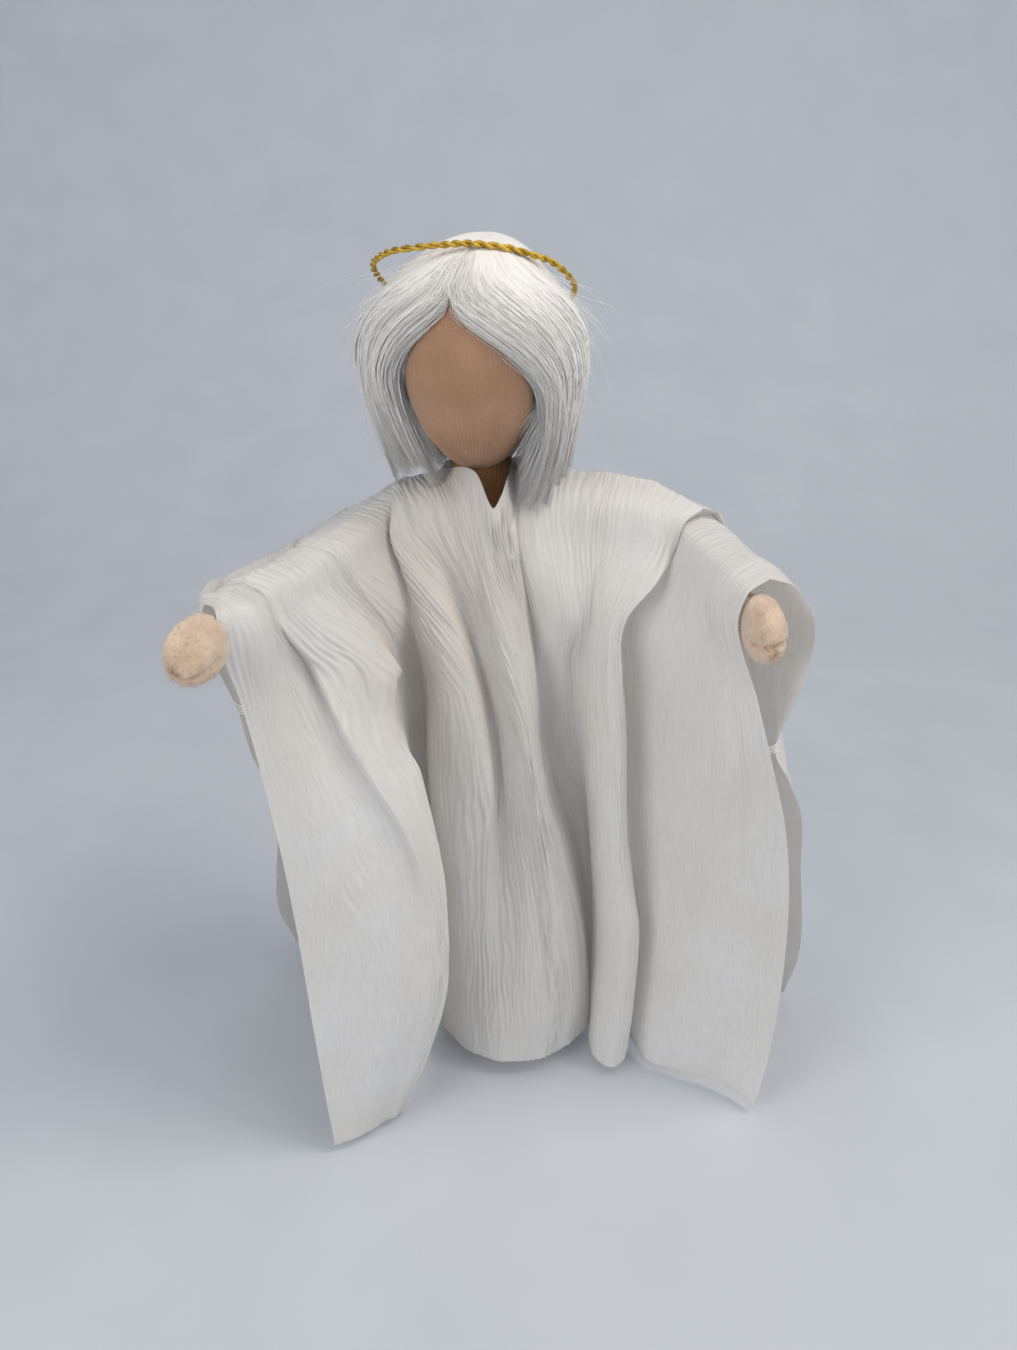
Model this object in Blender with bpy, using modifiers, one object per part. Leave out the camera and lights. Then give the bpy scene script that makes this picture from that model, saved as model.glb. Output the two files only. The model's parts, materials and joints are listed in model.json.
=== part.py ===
"""Bendable cloth nativity angel: padded wire skeleton, egg head, wig, twisted halo and a draped robe.

Metres, +Z up. The figure faces -Y, so its own left hand is at +X.
"""
import math

import bmesh
import bpy
from mathutils import Vector

MM = 0.001
CLEARANCE = 0.3 * MM
MERGE_DISTANCE = 0.01 * MM

# Where the figure's own axis stands in the part's frame
AXIS_X = -18.1 * MM
AXIS_Y = 20.4 * MM

# Skeleton: the wire, and the lengths between the bends
WIRE_RADIUS = 1.0 * MM
ANKLE_HEIGHT = 15 * MM
SHIN_LENGTH = 39 * MM
THIGH_LENGTH = 42 * MM
HIP_TO_SHOULDER = 96 * MM
SHOULDER_TO_NECK = 7 * MM
HIP_HALF = 11 * MM
SHOULDER_HALF = 28 * MM
UPPER_ARM_LENGTH = 36 * MM
FOREARM_LENGTH = 38 * MM

# Padding: radius of each limb, and of the round bend at its near end
THIGH_RADIUS = 6.8 * MM
HIP_BALL = 6.5 * MM
SHIN_RADIUS = 5.6 * MM
KNEE_BALL = 5.4 * MM
ANKLE_BALL = 4.4 * MM
UPPER_ARM_RADIUS = 5.6 * MM
SHOULDER_BALL = 6.0 * MM
FOREARM_RADIUS = 5.0 * MM
ELBOW_BALL = 5.0 * MM
WRIST_BALL = 3.8 * MM
NECK_RADIUS = 5.6 * MM
NECK_BALL = 6.4 * MM
CUP_ANGLE = math.radians(45)
DRAWN_IN_ANGLE = math.radians(125)

# Torso
CHEST_WIDTH = 47 * MM
WAIST_WIDTH = 31 * MM
HIP_WIDTH = 39 * MM
TORSO_DEPTH = 28 * MM

# Feet
FOOT_LENGTH = 27 * MM
FOOT_WIDTH = 13 * MM
FOOT_HEIGHT = 7 * MM
SOLE_THICKNESS = 1.5 * MM
HEEL_BACK = 8 * MM

# Head, wig and halo
HEAD_WIDTH = 44 * MM
HEAD_DEPTH = 48 * MM
HEAD_HEIGHT = 59 * MM
HEAD_FORWARD = 3 * MM
CHIN_ABOVE_NECK = 8 * MM
CHIN_TAPER = 0.12
SKIN_THICKNESS = 1.0 * MM
PEG_RADIUS = 3.6 * MM
PEG_HEIGHT = 24 * MM
HEAD_TURN = math.radians(-7)
HAIR_SIDE = 9.5 * MM
HAIR_BACK = 12 * MM
HAIR_CROWN = 4.5 * MM
HAIR_TIP_ABOVE_NECK = 10 * MM
HAIR_LOCKS = 11
LOCK_DEPTH = 1.1 * MM
FACE_WIDTH = 37 * MM
FACE_TOP_BELOW_CROWN = 15 * MM
HALO_WIDTH = 58.5 * MM
HALO_DEPTH = 53 * MM
HALO_TILT = math.radians(26)
HALO_ROLL = math.radians(6)
HALO_STRAND = 0.5 * MM
HALO_LAY = 0.7 * MM
HALO_TURNS = 18
POINTS_A_TURN = 6

# Hands
PALM_WIDTH = 12 * MM
PALM_HEIGHT = 16 * MM
PALM_LENGTH = 19 * MM
THUMB_RADIUS = 2.6 * MM

# Robe
CLOTH = 0.6 * MM
EASE = 2.2 * MM
CUFF_PAST_WRIST = 6 * MM
BINDING_RADIUS = 0.7 * MM
TACK_RADIUS = 0.5 * MM
SLIT_TO_LEFT = 3.5 * MM
SEAM_GAP = 1.0 * MM
STEPS_A_FOLD = 2
ROWS = (0.0045, 0.022, 0.045, 0.07, 0.10, 0.15, 0.22, 0.31, 0.42, 0.55, 0.68, 0.84, 1.0)

# How the arms are held: swing from sideways towards the front and drop below level, in degrees
ARM_POSE = {
    "left": {"side": 1, "upper": (17, 2), "fore": (70, 12), "hand": (80, 16)},
    "right": {"side": -1, "upper": (60.5, 8), "fore": (64, 2.5), "hand": (67, 9)},
}

KNEE_Z = ANKLE_HEIGHT + SHIN_LENGTH
HIP_Z = KNEE_Z + THIGH_LENGTH
SHOULDER_Z = HIP_Z + HIP_TO_SHOULDER
NECK_Z = SHOULDER_Z + SHOULDER_TO_NECK
CHIN_Z = NECK_Z + CHIN_ABOVE_NECK
BORE_RADIUS = WIRE_RADIUS + CLEARANCE

# The robe's fold lines were set on a figure with its shoulders at this height
FOLD_HEIGHT = 192.0


def clear_scene():
    for obj in list(bpy.data.objects):
        bpy.data.objects.remove(obj, do_unlink=True)


def new_collection(name):
    collection = bpy.data.collections.new(name)
    bpy.context.scene.collection.children.link(collection)
    return collection


def material(name, colour, roughness, metallic=0.0):
    mat = bpy.data.materials.new(name)
    mat.use_nodes = True
    shader = mat.node_tree.nodes["Principled BSDF"]
    shader.inputs["Base Color"].default_value = (*colour, 1.0)
    shader.inputs["Roughness"].default_value = roughness
    shader.inputs["Metallic"].default_value = metallic
    mat.diffuse_color = (*colour, 1.0)
    return mat


clear_scene()
PARTS = new_collection("nativity_angel_figure")
CUTTERS = new_collection("cutters")

SKIN = material("skin_knit", (0.62, 0.44, 0.31), 0.85)
NECK_KNIT = material("neck_knit", (0.38, 0.23, 0.14), 0.85)
HAND_FELT = material("hand_felt", (0.72, 0.52, 0.38), 0.9)
SISAL = material("sisal_padding", (0.66, 0.55, 0.36), 0.95)
FOAM = material("head_foam", (0.9, 0.9, 0.88), 0.8)
STEEL = material("steel_wire", (0.5, 0.5, 0.5), 0.35, 1.0)
LEAD = material("foot_lead", (0.24, 0.25, 0.27), 0.6, 1.0)
FELT = material("sole_felt", (0.35, 0.25, 0.18), 0.95)
HAIR = material("wig_fibre", (0.88, 0.85, 0.8), 0.6)
GOLD = material("gold_wire", (0.83, 0.58, 0.13), 0.25, 1.0)
SILK = material("crinkle_silk", (0.9, 0.88, 0.84), 0.55)
THREAD = material("white_thread", (0.92, 0.91, 0.88), 0.7)

FIGURE = bpy.data.objects.new("figure_axis", None)
FIGURE.location = (AXIS_X, AXIS_Y, 0.0)
PARTS.objects.link(FIGURE)
JOINT_AT = {"figure": Vector()}
JOINT_EMPTY = {"figure": FIGURE}


def joint(name, parent, at):
    """An empty on a joint's axis; the pieces that it moves are parented to it."""
    empty = bpy.data.objects.new("axis_" + name, None)
    empty.parent = JOINT_EMPTY[parent]
    empty.location = at - JOINT_AT[parent]
    PARTS.objects.link(empty)
    JOINT_AT[name] = at.copy()
    JOINT_EMPTY[name] = empty


def place(obj, body, at, direction=None):
    """Put an object on its joint's empty, with its local +Z along a direction."""
    obj.parent = JOINT_EMPTY[body]
    obj.location = at - JOINT_AT[body]
    if direction is not None:
        obj.rotation_euler = direction.to_track_quat("Z", "Y").to_euler()
    return obj


def mesh_object(name, mesh, mat, collection=PARTS):
    obj = bpy.data.objects.new(name, mesh)
    if mat is not None:
        mesh.materials.clear()
        mesh.materials.append(mat)
    collection.objects.link(obj)
    return obj


def smooth(mesh):
    for polygon in mesh.polygons:
        polygon.use_smooth = True


def turned(name, profile, mat, steps=10, collection=PARTS):
    """A turned solid: the profile starts on the axis, goes out and runs down the outer side to the axis."""
    mesh = bpy.data.meshes.new(name)
    edges = [(i, i + 1) for i in range(len(profile) - 1)]
    mesh.from_pydata([(r, 0.0, z) for r, z in profile], edges, [])
    obj = mesh_object(name, mesh, mat, collection)
    screw = obj.modifiers.new("turn", "SCREW")
    screw.steps = steps
    screw.render_steps = steps
    screw.use_merge_vertices = True
    screw.merge_threshold = MERGE_DISTANCE
    weld = obj.modifiers.new("weld", "WELD")
    weld.merge_threshold = MERGE_DISTANCE
    return obj


def ball(name, radius, at, body="figure", segments=12, rings=8):
    mesh = bpy.data.meshes.new(name)
    bm = bmesh.new()
    bmesh.ops.create_uvsphere(bm, u_segments=segments, v_segments=rings, radius=radius)
    bm.to_mesh(mesh)
    bm.free()
    obj = mesh_object(name, mesh, None, CUTTERS)
    return place(obj, body, at)


def rod(name, radius, start, end, body, mat=None, segments=10, collection=CUTTERS):
    mesh = bpy.data.meshes.new(name)
    bm = bmesh.new()
    bmesh.ops.create_cone(bm, cap_ends=True, segments=segments, radius1=radius, radius2=radius,
                          depth=(end - start).length)
    bm.to_mesh(mesh)
    bm.free()
    obj = mesh_object(name, mesh, mat, collection)
    return place(obj, body, (start + end) / 2, end - start)


def boolean(obj, other, operation="DIFFERENCE"):
    other.hide_render = True
    other.display_type = "WIRE"
    step = obj.modifiers.new(operation.lower() + "_" + other.name, "BOOLEAN")
    step.operation = operation
    step.object = other


def arc(radius, centre_z, start, end, count):
    """Profile points on a circle round (0, centre_z); angles from straight down, in radians."""
    points = []
    for i in range(count + 1):
        angle = start + (end - start) * i / count
        points.append((radius * math.sin(angle), centre_z - radius * math.cos(angle)))
    return points


def limb(name, length, near_ball, radius, far_ball):
    """Padded limb along +Z: round end drawn in at the bend, swelling middle, cup for the next, wire bore."""
    cup = far_ball + CLEARANCE
    start = math.asin(BORE_RADIUS / cup)
    profile = [(0.0, 0.0), (BORE_RADIUS, 0.0)]
    profile += arc(cup, length, start, CUP_ANGLE, 3)
    profile += [(0.92 * radius, length - 1.5 * cup), (radius, 0.5 * length)]
    profile += [(0.5 * (radius + near_ball), 0.22 * length)]
    profile += arc(near_ball, 0.0, DRAWN_IN_ANGLE, 0.0, 5)
    return turned(name, profile, SISAL)


def limb_wire(name, length, far_ball, body, at, direction):
    """The wire in a limb piece's bore, from the middle of its near bend to just short of the cup."""
    unit = direction.normalized()
    start = at + unit * CLEARANCE
    end = at + unit * (length - far_ball - 3 * CLEARANCE)
    return rod(name, WIRE_RADIUS, start, end, body, STEEL, 8, PARTS)


def direction(side, swing, drop):
    swing, drop = math.radians(swing), math.radians(drop)
    level = math.cos(drop)
    return Vector((side * math.cos(swing) * level, -math.sin(swing) * level, -math.sin(drop)))


def build_torso():
    top = NECK_Z - 2.5 * MM
    bottom = HIP_Z + 3.5 * MM
    profile = [
        (0.0, top),
        (0.30 * CHEST_WIDTH, top),
        (0.43 * CHEST_WIDTH, top - 4 * MM),
        (0.50 * CHEST_WIDTH, SHOULDER_Z - 6 * MM),
        (0.46 * CHEST_WIDTH, SHOULDER_Z - 20 * MM),
        (0.50 * WAIST_WIDTH, HIP_Z + 0.45 * HIP_TO_SHOULDER),
        (0.50 * HIP_WIDTH, HIP_Z + 14 * MM),
        (0.44 * HIP_WIDTH, bottom + 1.5 * MM),
        (0.38 * HIP_WIDTH, bottom),
        (0.0, bottom),
    ]
    torso = turned("torso_padding", profile, SISAL, 16)
    torso.scale = (1.0, TORSO_DEPTH / CHEST_WIDTH, 1.0)
    place(torso, "figure", Vector())
    for side in (1, -1):
        boolean(torso, ball("shoulder_cup", SHOULDER_BALL + CLEARANCE, shoulder(side)))
        boolean(torso, ball("hip_cup", HIP_BALL + CLEARANCE, hip(side)))
    neck_base = Vector((0, 0, NECK_Z))
    boolean(torso, ball("neck_cup", NECK_BALL + CLEARANCE, neck_base))
    spine_foot = Vector((0, 0, HIP_Z + 10 * MM))
    boolean(torso, rod("spine_bore", BORE_RADIUS, spine_foot, neck_base, "figure"))
    lift = Vector((0, 0, CLEARANCE))
    spine_top = neck_base - Vector((0, 0, NECK_BALL + 3 * CLEARANCE))
    rod("spine_wire", WIRE_RADIUS, spine_foot + lift, spine_top, "figure", STEEL, 8, PARTS)
    behind = Vector((0, 0.16 * TORSO_DEPTH, 0))
    across = Vector((0.5 * CHEST_WIDTH, 0, 0))
    level = Vector((0, 0, SHOULDER_Z - 3 * MM)) + behind
    boolean(torso, rod("shoulder_bore", BORE_RADIUS, level - across, level + across, "figure"))
    reach = Vector((SHOULDER_HALF - SHOULDER_BALL - 2 * MM, 0, 0))
    rod("shoulder_wire", WIRE_RADIUS, level - reach, level + reach, "figure", STEEL, 8, PARTS)
    level = Vector((0, 0, HIP_Z + 15 * MM)) + behind
    across = Vector((0.55 * HIP_WIDTH, 0, 0))
    boolean(torso, rod("hip_bore", BORE_RADIUS, level - across, level + across, "figure"))
    reach = Vector((0.42 * HIP_WIDTH, 0, 0))
    rod("hip_wire", WIRE_RADIUS, level - reach, level + reach, "figure", STEEL, 8, PARTS)


def shoulder(side):
    return Vector((side * SHOULDER_HALF, 0, SHOULDER_Z))


def hip(side):
    return Vector((side * HIP_HALF, 0, HIP_Z))


def arm_points(name):
    """Shoulder, elbow, wrist and cuff end of one arm."""
    pose = ARM_POSE[name]
    side = pose["side"]
    points = [shoulder(side)]
    points.append(points[-1] + UPPER_ARM_LENGTH * direction(side, *pose["upper"]))
    points.append(points[-1] + FOREARM_LENGTH * direction(side, *pose["fore"]))
    points.append(points[-1] + CUFF_PAST_WRIST * direction(side, *pose["hand"]))
    return points


def build_arm(name):
    start, elbow, wrist, _ = arm_points(name)
    hand_way = direction(ARM_POSE[name]["side"], *ARM_POSE[name]["hand"])
    upper, fore, hand = "upper_arm_" + name, "forearm_" + name, "hand_" + name
    joint(upper, "figure", start)
    joint(fore, upper, elbow)
    joint(hand, fore, wrist)
    piece = limb(upper + "_padding", UPPER_ARM_LENGTH, SHOULDER_BALL, UPPER_ARM_RADIUS, ELBOW_BALL)
    place(piece, upper, start, elbow - start)
    limb_wire(upper + "_wire", UPPER_ARM_LENGTH, ELBOW_BALL, upper, start, elbow - start)
    piece = limb(fore + "_padding", FOREARM_LENGTH, ELBOW_BALL, FOREARM_RADIUS, WRIST_BALL)
    place(piece, fore, elbow, wrist - elbow)
    limb_wire(fore + "_wire", FOREARM_LENGTH, WRIST_BALL, fore, elbow, wrist - elbow)
    build_hand(hand, wrist, hand_way, ARM_POSE[name]["side"])


def build_hand(name, wrist, way, side):
    """Felt mitten with a thumb, on a round wrist bend, bored for the end of the arm's wire."""
    palm_centre = wrist + way * (0.5 * PALM_LENGTH + 1.5 * MM)
    mesh = bpy.data.meshes.new(name)
    bm = bmesh.new()
    bmesh.ops.create_uvsphere(bm, u_segments=12, v_segments=8, radius=0.5)
    bmesh.ops.scale(bm, vec=(PALM_WIDTH, PALM_HEIGHT, PALM_LENGTH), verts=bm.verts)
    bm.to_mesh(mesh)
    bm.free()
    smooth(mesh)
    palm = mesh_object(name, mesh, HAND_FELT)
    place(palm, name, palm_centre, way)
    boolean(palm, ball(name + "_bend", WRIST_BALL, wrist, name), "UNION")
    inward = Vector((-side, 0, 0))
    thumb_root = wrist + way * (0.35 * PALM_LENGTH) + Vector((0, 0, 0.2 * PALM_HEIGHT)) + inward * 2 * MM
    thumb_tip = wrist + way * (0.8 * PALM_LENGTH) + Vector((0, 0, 0.36 * PALM_HEIGHT)) + inward * 3 * MM
    thumb = rod(name + "_thumb", THUMB_RADIUS, thumb_root, thumb_tip, name)
    boolean(palm, thumb, "UNION")
    boolean(palm, ball(name + "_thumb_end", THUMB_RADIUS * 1.02, thumb_tip, name), "UNION")
    bore_start = wrist - way * (WRIST_BALL + MM)
    bore_end = wrist + way * (0.6 * PALM_LENGTH)
    boolean(palm, rod(name + "_bore", BORE_RADIUS, bore_start, bore_end, name))
    wire_start = wrist - way * (WRIST_BALL - 2 * CLEARANCE)
    rod(name + "_wire", WIRE_RADIUS, wire_start, bore_end - way * CLEARANCE, name, STEEL, 8, PARTS)


def build_leg(name, side):
    top = hip(side)
    knee = Vector((top.x, 0, KNEE_Z))
    ankle = Vector((top.x, 0, ANKLE_HEIGHT))
    down = Vector((0, 0, -1))
    thigh, shin, foot = "thigh_" + name, "shin_" + name, "foot_" + name
    joint(thigh, "figure", top)
    joint(shin, thigh, knee)
    joint(foot, shin, ankle)
    place(limb(thigh + "_padding", THIGH_LENGTH, HIP_BALL, THIGH_RADIUS, KNEE_BALL), thigh, top, down)
    limb_wire(thigh + "_wire", THIGH_LENGTH, KNEE_BALL, thigh, top, down)
    place(limb(shin + "_padding", SHIN_LENGTH, KNEE_BALL, SHIN_RADIUS, ANKLE_BALL), shin, knee, down)
    limb_wire(shin + "_wire", SHIN_LENGTH, ANKLE_BALL, shin, knee, down)
    build_foot(name, ankle)


def foot_outline(width, length):
    """Half-round heel and toe joined by straight sides, toe towards -Y."""
    half = width / 2
    points = []
    for centre_y, start in ((-(length - width) / 2, math.pi), ((length - width) / 2, 0.0)):
        for i in range(7):
            angle = start + math.pi * i / 6
            points.append((half * math.cos(angle), centre_y + half * math.sin(angle)))
    return points


def slab(name, outline, bottom, top, mat, at, body, bevel=0.0):
    """A flat outline raised from bottom to top, with its upper edge rounded."""
    mesh = bpy.data.meshes.new(name)
    bm = bmesh.new()
    face = bm.faces.new([bm.verts.new((x, y, bottom)) for x, y in outline])
    raised = bmesh.ops.extrude_face_region(bm, geom=[face])
    moved = [item for item in raised["geom"] if isinstance(item, bmesh.types.BMVert)]
    bmesh.ops.translate(bm, verts=moved, vec=(0, 0, top - bottom))
    bmesh.ops.recalc_face_normals(bm, faces=bm.faces)
    bm.to_mesh(mesh)
    bm.free()
    obj = mesh_object(name, mesh, mat)
    if bevel:
        edge = obj.modifiers.new("round", "BEVEL")
        edge.width = bevel
        edge.segments = 2
        edge.limit_method = "ANGLE"
    return place(obj, body, at)


def build_foot(name, ankle):
    body = "foot_" + name
    middle = Vector((ankle.x, HEEL_BACK - FOOT_LENGTH / 2, 0))
    slab("sole_" + name, foot_outline(FOOT_WIDTH, FOOT_LENGTH), 0.0, SOLE_THICKNESS, FELT, middle, body)
    bottom = SOLE_THICKNESS + CLEARANCE
    outline = foot_outline(FOOT_WIDTH - MM, FOOT_LENGTH - MM)
    weight = slab("foot_weight_" + name, outline, bottom, bottom + FOOT_HEIGHT, LEAD, middle, body, 1.5 * MM)
    post_foot = Vector((ankle.x, 0, bottom + 0.5 * FOOT_HEIGHT))
    boolean(weight, rod(body + "_post", 0.8 * ANKLE_BALL, post_foot, ankle, body), "UNION")
    boolean(weight, ball(body + "_bend", ANKLE_BALL, ankle, body), "UNION")


def egg(name, shrink, mat=None, collection=CUTTERS):
    """The head's egg, narrower at the chin, with its surface moved inwards."""
    mesh = bpy.data.meshes.new(name)
    bm = bmesh.new()
    bmesh.ops.create_uvsphere(bm, u_segments=20, v_segments=12, radius=1.0)
    half = Vector((HEAD_WIDTH, HEAD_DEPTH, HEAD_HEIGHT)) / 2
    for vert in bm.verts:
        narrow = 1.0 - CHIN_TAPER * (0.5 - 0.5 * vert.co.z) ** 2 * 2
        vert.co = Vector((vert.co.x * (half.x - shrink) * narrow, vert.co.y * (half.y - shrink) * narrow,
                          vert.co.z * (half.z - shrink)))
    bm.to_mesh(mesh)
    bm.free()
    smooth(mesh)
    obj = mesh_object(name, mesh, mat, collection)
    place(obj, "head", head_centre())
    obj.rotation_euler = (0, 0, HEAD_TURN)
    return obj


def head_centre():
    return Vector((0, -HEAD_FORWARD, CHIN_Z + HEAD_HEIGHT / 2))


def build_neck_and_head():
    base = Vector((0, 0, NECK_Z))
    pivot = Vector((0, 0, CHIN_Z + 2 * MM))
    joint("neck", "figure", base)
    joint("head", "neck", pivot)
    shelf = CHIN_ABOVE_NECK + 6 * MM
    top = shelf + PEG_HEIGHT
    profile = [(0.0, top), (PEG_RADIUS - MM, top), (PEG_RADIUS, top - MM), (PEG_RADIUS, shelf)]
    profile += [(NECK_RADIUS, shelf), (NECK_RADIUS, 0.5 * NECK_BALL)]
    profile += arc(NECK_BALL, 0.0, math.radians(118), math.asin(BORE_RADIUS / NECK_BALL), 5)
    profile += [(BORE_RADIUS, top - 4 * MM), (0.0, top - 4 * MM)]
    place(turned("neck", profile, NECK_KNIT, 16), "neck", base)
    wire_foot = base - Vector((0, 0, NECK_BALL - 3 * CLEARANCE))
    wire_top = base + Vector((0, 0, top - 4 * MM - CLEARANCE))
    rod("neck_wire", WIRE_RADIUS, wire_foot, wire_top, "neck", STEEL, 8, PARTS)

    core = egg("head_core", SKIN_THICKNESS + CLEARANCE, FOAM, PARTS)
    below = base + Vector((0, 0, 4 * MM))
    peg_top = base + Vector((0, 0, top + CLEARANCE))
    shelf_top = base + Vector((0, 0, shelf + CLEARANCE))
    boolean(core, rod("peg_bore", PEG_RADIUS + CLEARANCE, below, peg_top, "head", None, 16))
    boolean(core, rod("neck_bore", NECK_RADIUS + CLEARANCE, below, shelf_top, "head", None, 16))
    skin = egg("head_skin", 0.0, SKIN, PARTS)
    boolean(skin, egg("skin_inside", SKIN_THICKNESS))
    boolean(skin, rod("neck_hole", NECK_RADIUS + CLEARANCE, below, shelf_top, "head", None, 16))
    build_hair()
    build_halo()


def hair_half():
    """Half width, half depth and height above its middle of the wig."""
    return Vector((HEAD_WIDTH / 2 + HAIR_SIDE, HEAD_DEPTH / 2 + HAIR_BACK - 3 * MM,
                   HEAD_HEIGHT / 2 + HAIR_CROWN))


def hair_centre():
    return head_centre() + Vector((0, 3 * MM, 0))


def build_hair():
    """A wig parted above the face: domed crown, then locks that hang straight to the shoulders."""
    segments, rings, widest = 44, 9, 0.55
    half, centre = hair_half(), hair_centre()
    drop = centre.z - NECK_Z - HAIR_TIP_ABOVE_NECK
    mesh = bpy.data.meshes.new("hair")
    bm = bmesh.new()
    crown = bm.verts.new((0, 0, half.z))
    rows = []
    for j in range(1, rings + 1):
        way = j / rings
        row = []
        for i in range(segments):
            angle = 2 * math.pi * i / segments
            if way <= widest:
                turn = 0.5 * math.pi * way / widest
                spread, height = math.sin(turn), half.z * math.cos(turn)
            else:
                fall = (way - widest) / (1 - widest)
                spread, height = 1.0 - 0.1 * fall ** 2, -drop * fall
            ridge = LOCK_DEPTH * min(1.0, way / widest) * math.cos(HAIR_LOCKS * angle)
            row.append(bm.verts.new(((half.x * spread + ridge) * math.cos(angle),
                                     (half.y * spread + ridge) * math.sin(angle), height)))
        rows.append(row)
    for i in range(segments):
        bm.faces.new((crown, rows[0][i], rows[0][(i + 1) % segments]))
        for upper, lower in zip(rows, rows[1:]):
            k = (i + 1) % segments
            bm.faces.new((upper[i], lower[i], lower[k], upper[k]))
    bm.faces.new(list(reversed(rows[-1])))
    bmesh.ops.recalc_face_normals(bm, faces=bm.faces)
    bm.to_mesh(mesh)
    bm.free()
    smooth(mesh)
    hair = mesh_object("hair", mesh, HAIR)
    place(hair, "head", centre)
    boolean(hair, egg("head_in_hair", -CLEARANCE))
    under = head_centre() - Vector((0, 0, HEAD_HEIGHT))
    inside = rod("under_hair", 0.46 * HEAD_WIDTH, under, head_centre(), "head", None, 24)
    boolean(hair, inside)
    face_half = (HEAD_HEIGHT - FACE_TOP_BELOW_CROWN + CHIN_ABOVE_NECK) / 2
    face_middle = head_centre() + Vector((0, 0, HEAD_HEIGHT / 2 - FACE_TOP_BELOW_CROWN - face_half))
    face = rod("face_opening", 1.0, face_middle, face_middle + Vector((0, 0, 1.0)), "head", None, 28)
    face.scale = (FACE_WIDTH / 2, face_half, HEAD_DEPTH)
    face.rotation_euler = (math.radians(90), 0, HEAD_TURN)
    forward = Vector((math.sin(HEAD_TURN), -math.cos(HEAD_TURN), 0))
    face.location = face_middle + forward * (0.5 * HEAD_DEPTH + 0.2 * HEAD_DEPTH) - JOINT_AT["head"]
    boolean(hair, face)


def halo_point(angle):
    """Middle line of the halo: an oval round the crown, tipped back and down to the figure's left."""
    half, centre = hair_half(), hair_centre()
    x, y = 0.5 * HALO_WIDTH * math.sin(angle), -0.5 * HALO_DEPTH * math.cos(angle)
    seat = HALO_STRAND + HALO_LAY + LOCK_DEPTH / 2 + CLEARANCE
    front_y = -0.36 * half.y
    front_z = half.z * math.sqrt(1 - (front_y / half.y) ** 2) + seat
    along = y + 0.5 * HALO_DEPTH
    return centre + Vector((x * math.cos(HALO_ROLL), front_y + along * math.cos(HALO_TILT),
                            front_z - along * math.sin(HALO_TILT) - x * math.sin(HALO_ROLL)))


def build_halo():
    """Two wires twisted round each other into a ring, each one unbroken tube."""
    count = HALO_TURNS * POINTS_A_TURN
    strands = []
    for name, lead in (("halo_wire_a", 0.0), ("halo_wire_b", math.pi)):
        points = []
        for i in range(count):
            angle = 2 * math.pi * i / count
            here = halo_point(angle)
            ahead = (halo_point(angle + 0.01) - halo_point(angle - 0.01)).normalized()
            out = (here - hair_centre()).normalized()
            out = (out - ahead * out.dot(ahead)).normalized()
            across = ahead.cross(out)
            twist = 2 * math.pi * i / POINTS_A_TURN + lead
            points.append(here + HALO_LAY * (out * math.cos(twist) + across * math.sin(twist)))
        strands.append(points)
        tube(name, points, HALO_STRAND, GOLD, "head", closed=True)
    skip = POINTS_A_TURN // 2
    own = min((strands[0][i] - strands[0][j]).length for i in range(count) for j in range(count)
              if min((i - j) % count, (j - i) % count) > skip)
    print("halo wire: least gap to itself %.2f mm" % ((own - 2 * HALO_STRAND) / MM))


def tube(name, points, radius, mat, body, closed=False, resolution=1):
    """A round wire or cord along points, as a curve with a bevel, made a mesh with its caps welded."""
    curve = bpy.data.curves.new(name, "CURVE")
    curve.dimensions = "3D"
    curve.bevel_depth = radius
    curve.bevel_resolution = resolution
    curve.use_fill_caps = not closed
    spline = curve.splines.new("POLY")
    spline.points.add(len(points) - 1)
    for item, point in zip(spline.points, points):
        item.co = (*(point - JOINT_AT[body]), 1.0)
    spline.use_cyclic_u = closed
    obj = bpy.data.objects.new(name + "_curve", curve)
    PARTS.objects.link(obj)
    mesh = bpy.data.meshes.new_from_object(obj.evaluated_get(bpy.context.evaluated_depsgraph_get()))
    bpy.data.objects.remove(obj, do_unlink=True)
    bm = bmesh.new()
    bm.from_mesh(mesh)
    bmesh.ops.remove_doubles(bm, verts=bm.verts, dist=MERGE_DISTANCE)
    bmesh.ops.recalc_face_normals(bm, faces=bm.faces)
    bm.to_mesh(mesh)
    bm.free()
    smooth(mesh)
    piece = mesh_object(name, mesh, mat)
    return place(piece, body, JOINT_AT[body])


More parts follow.
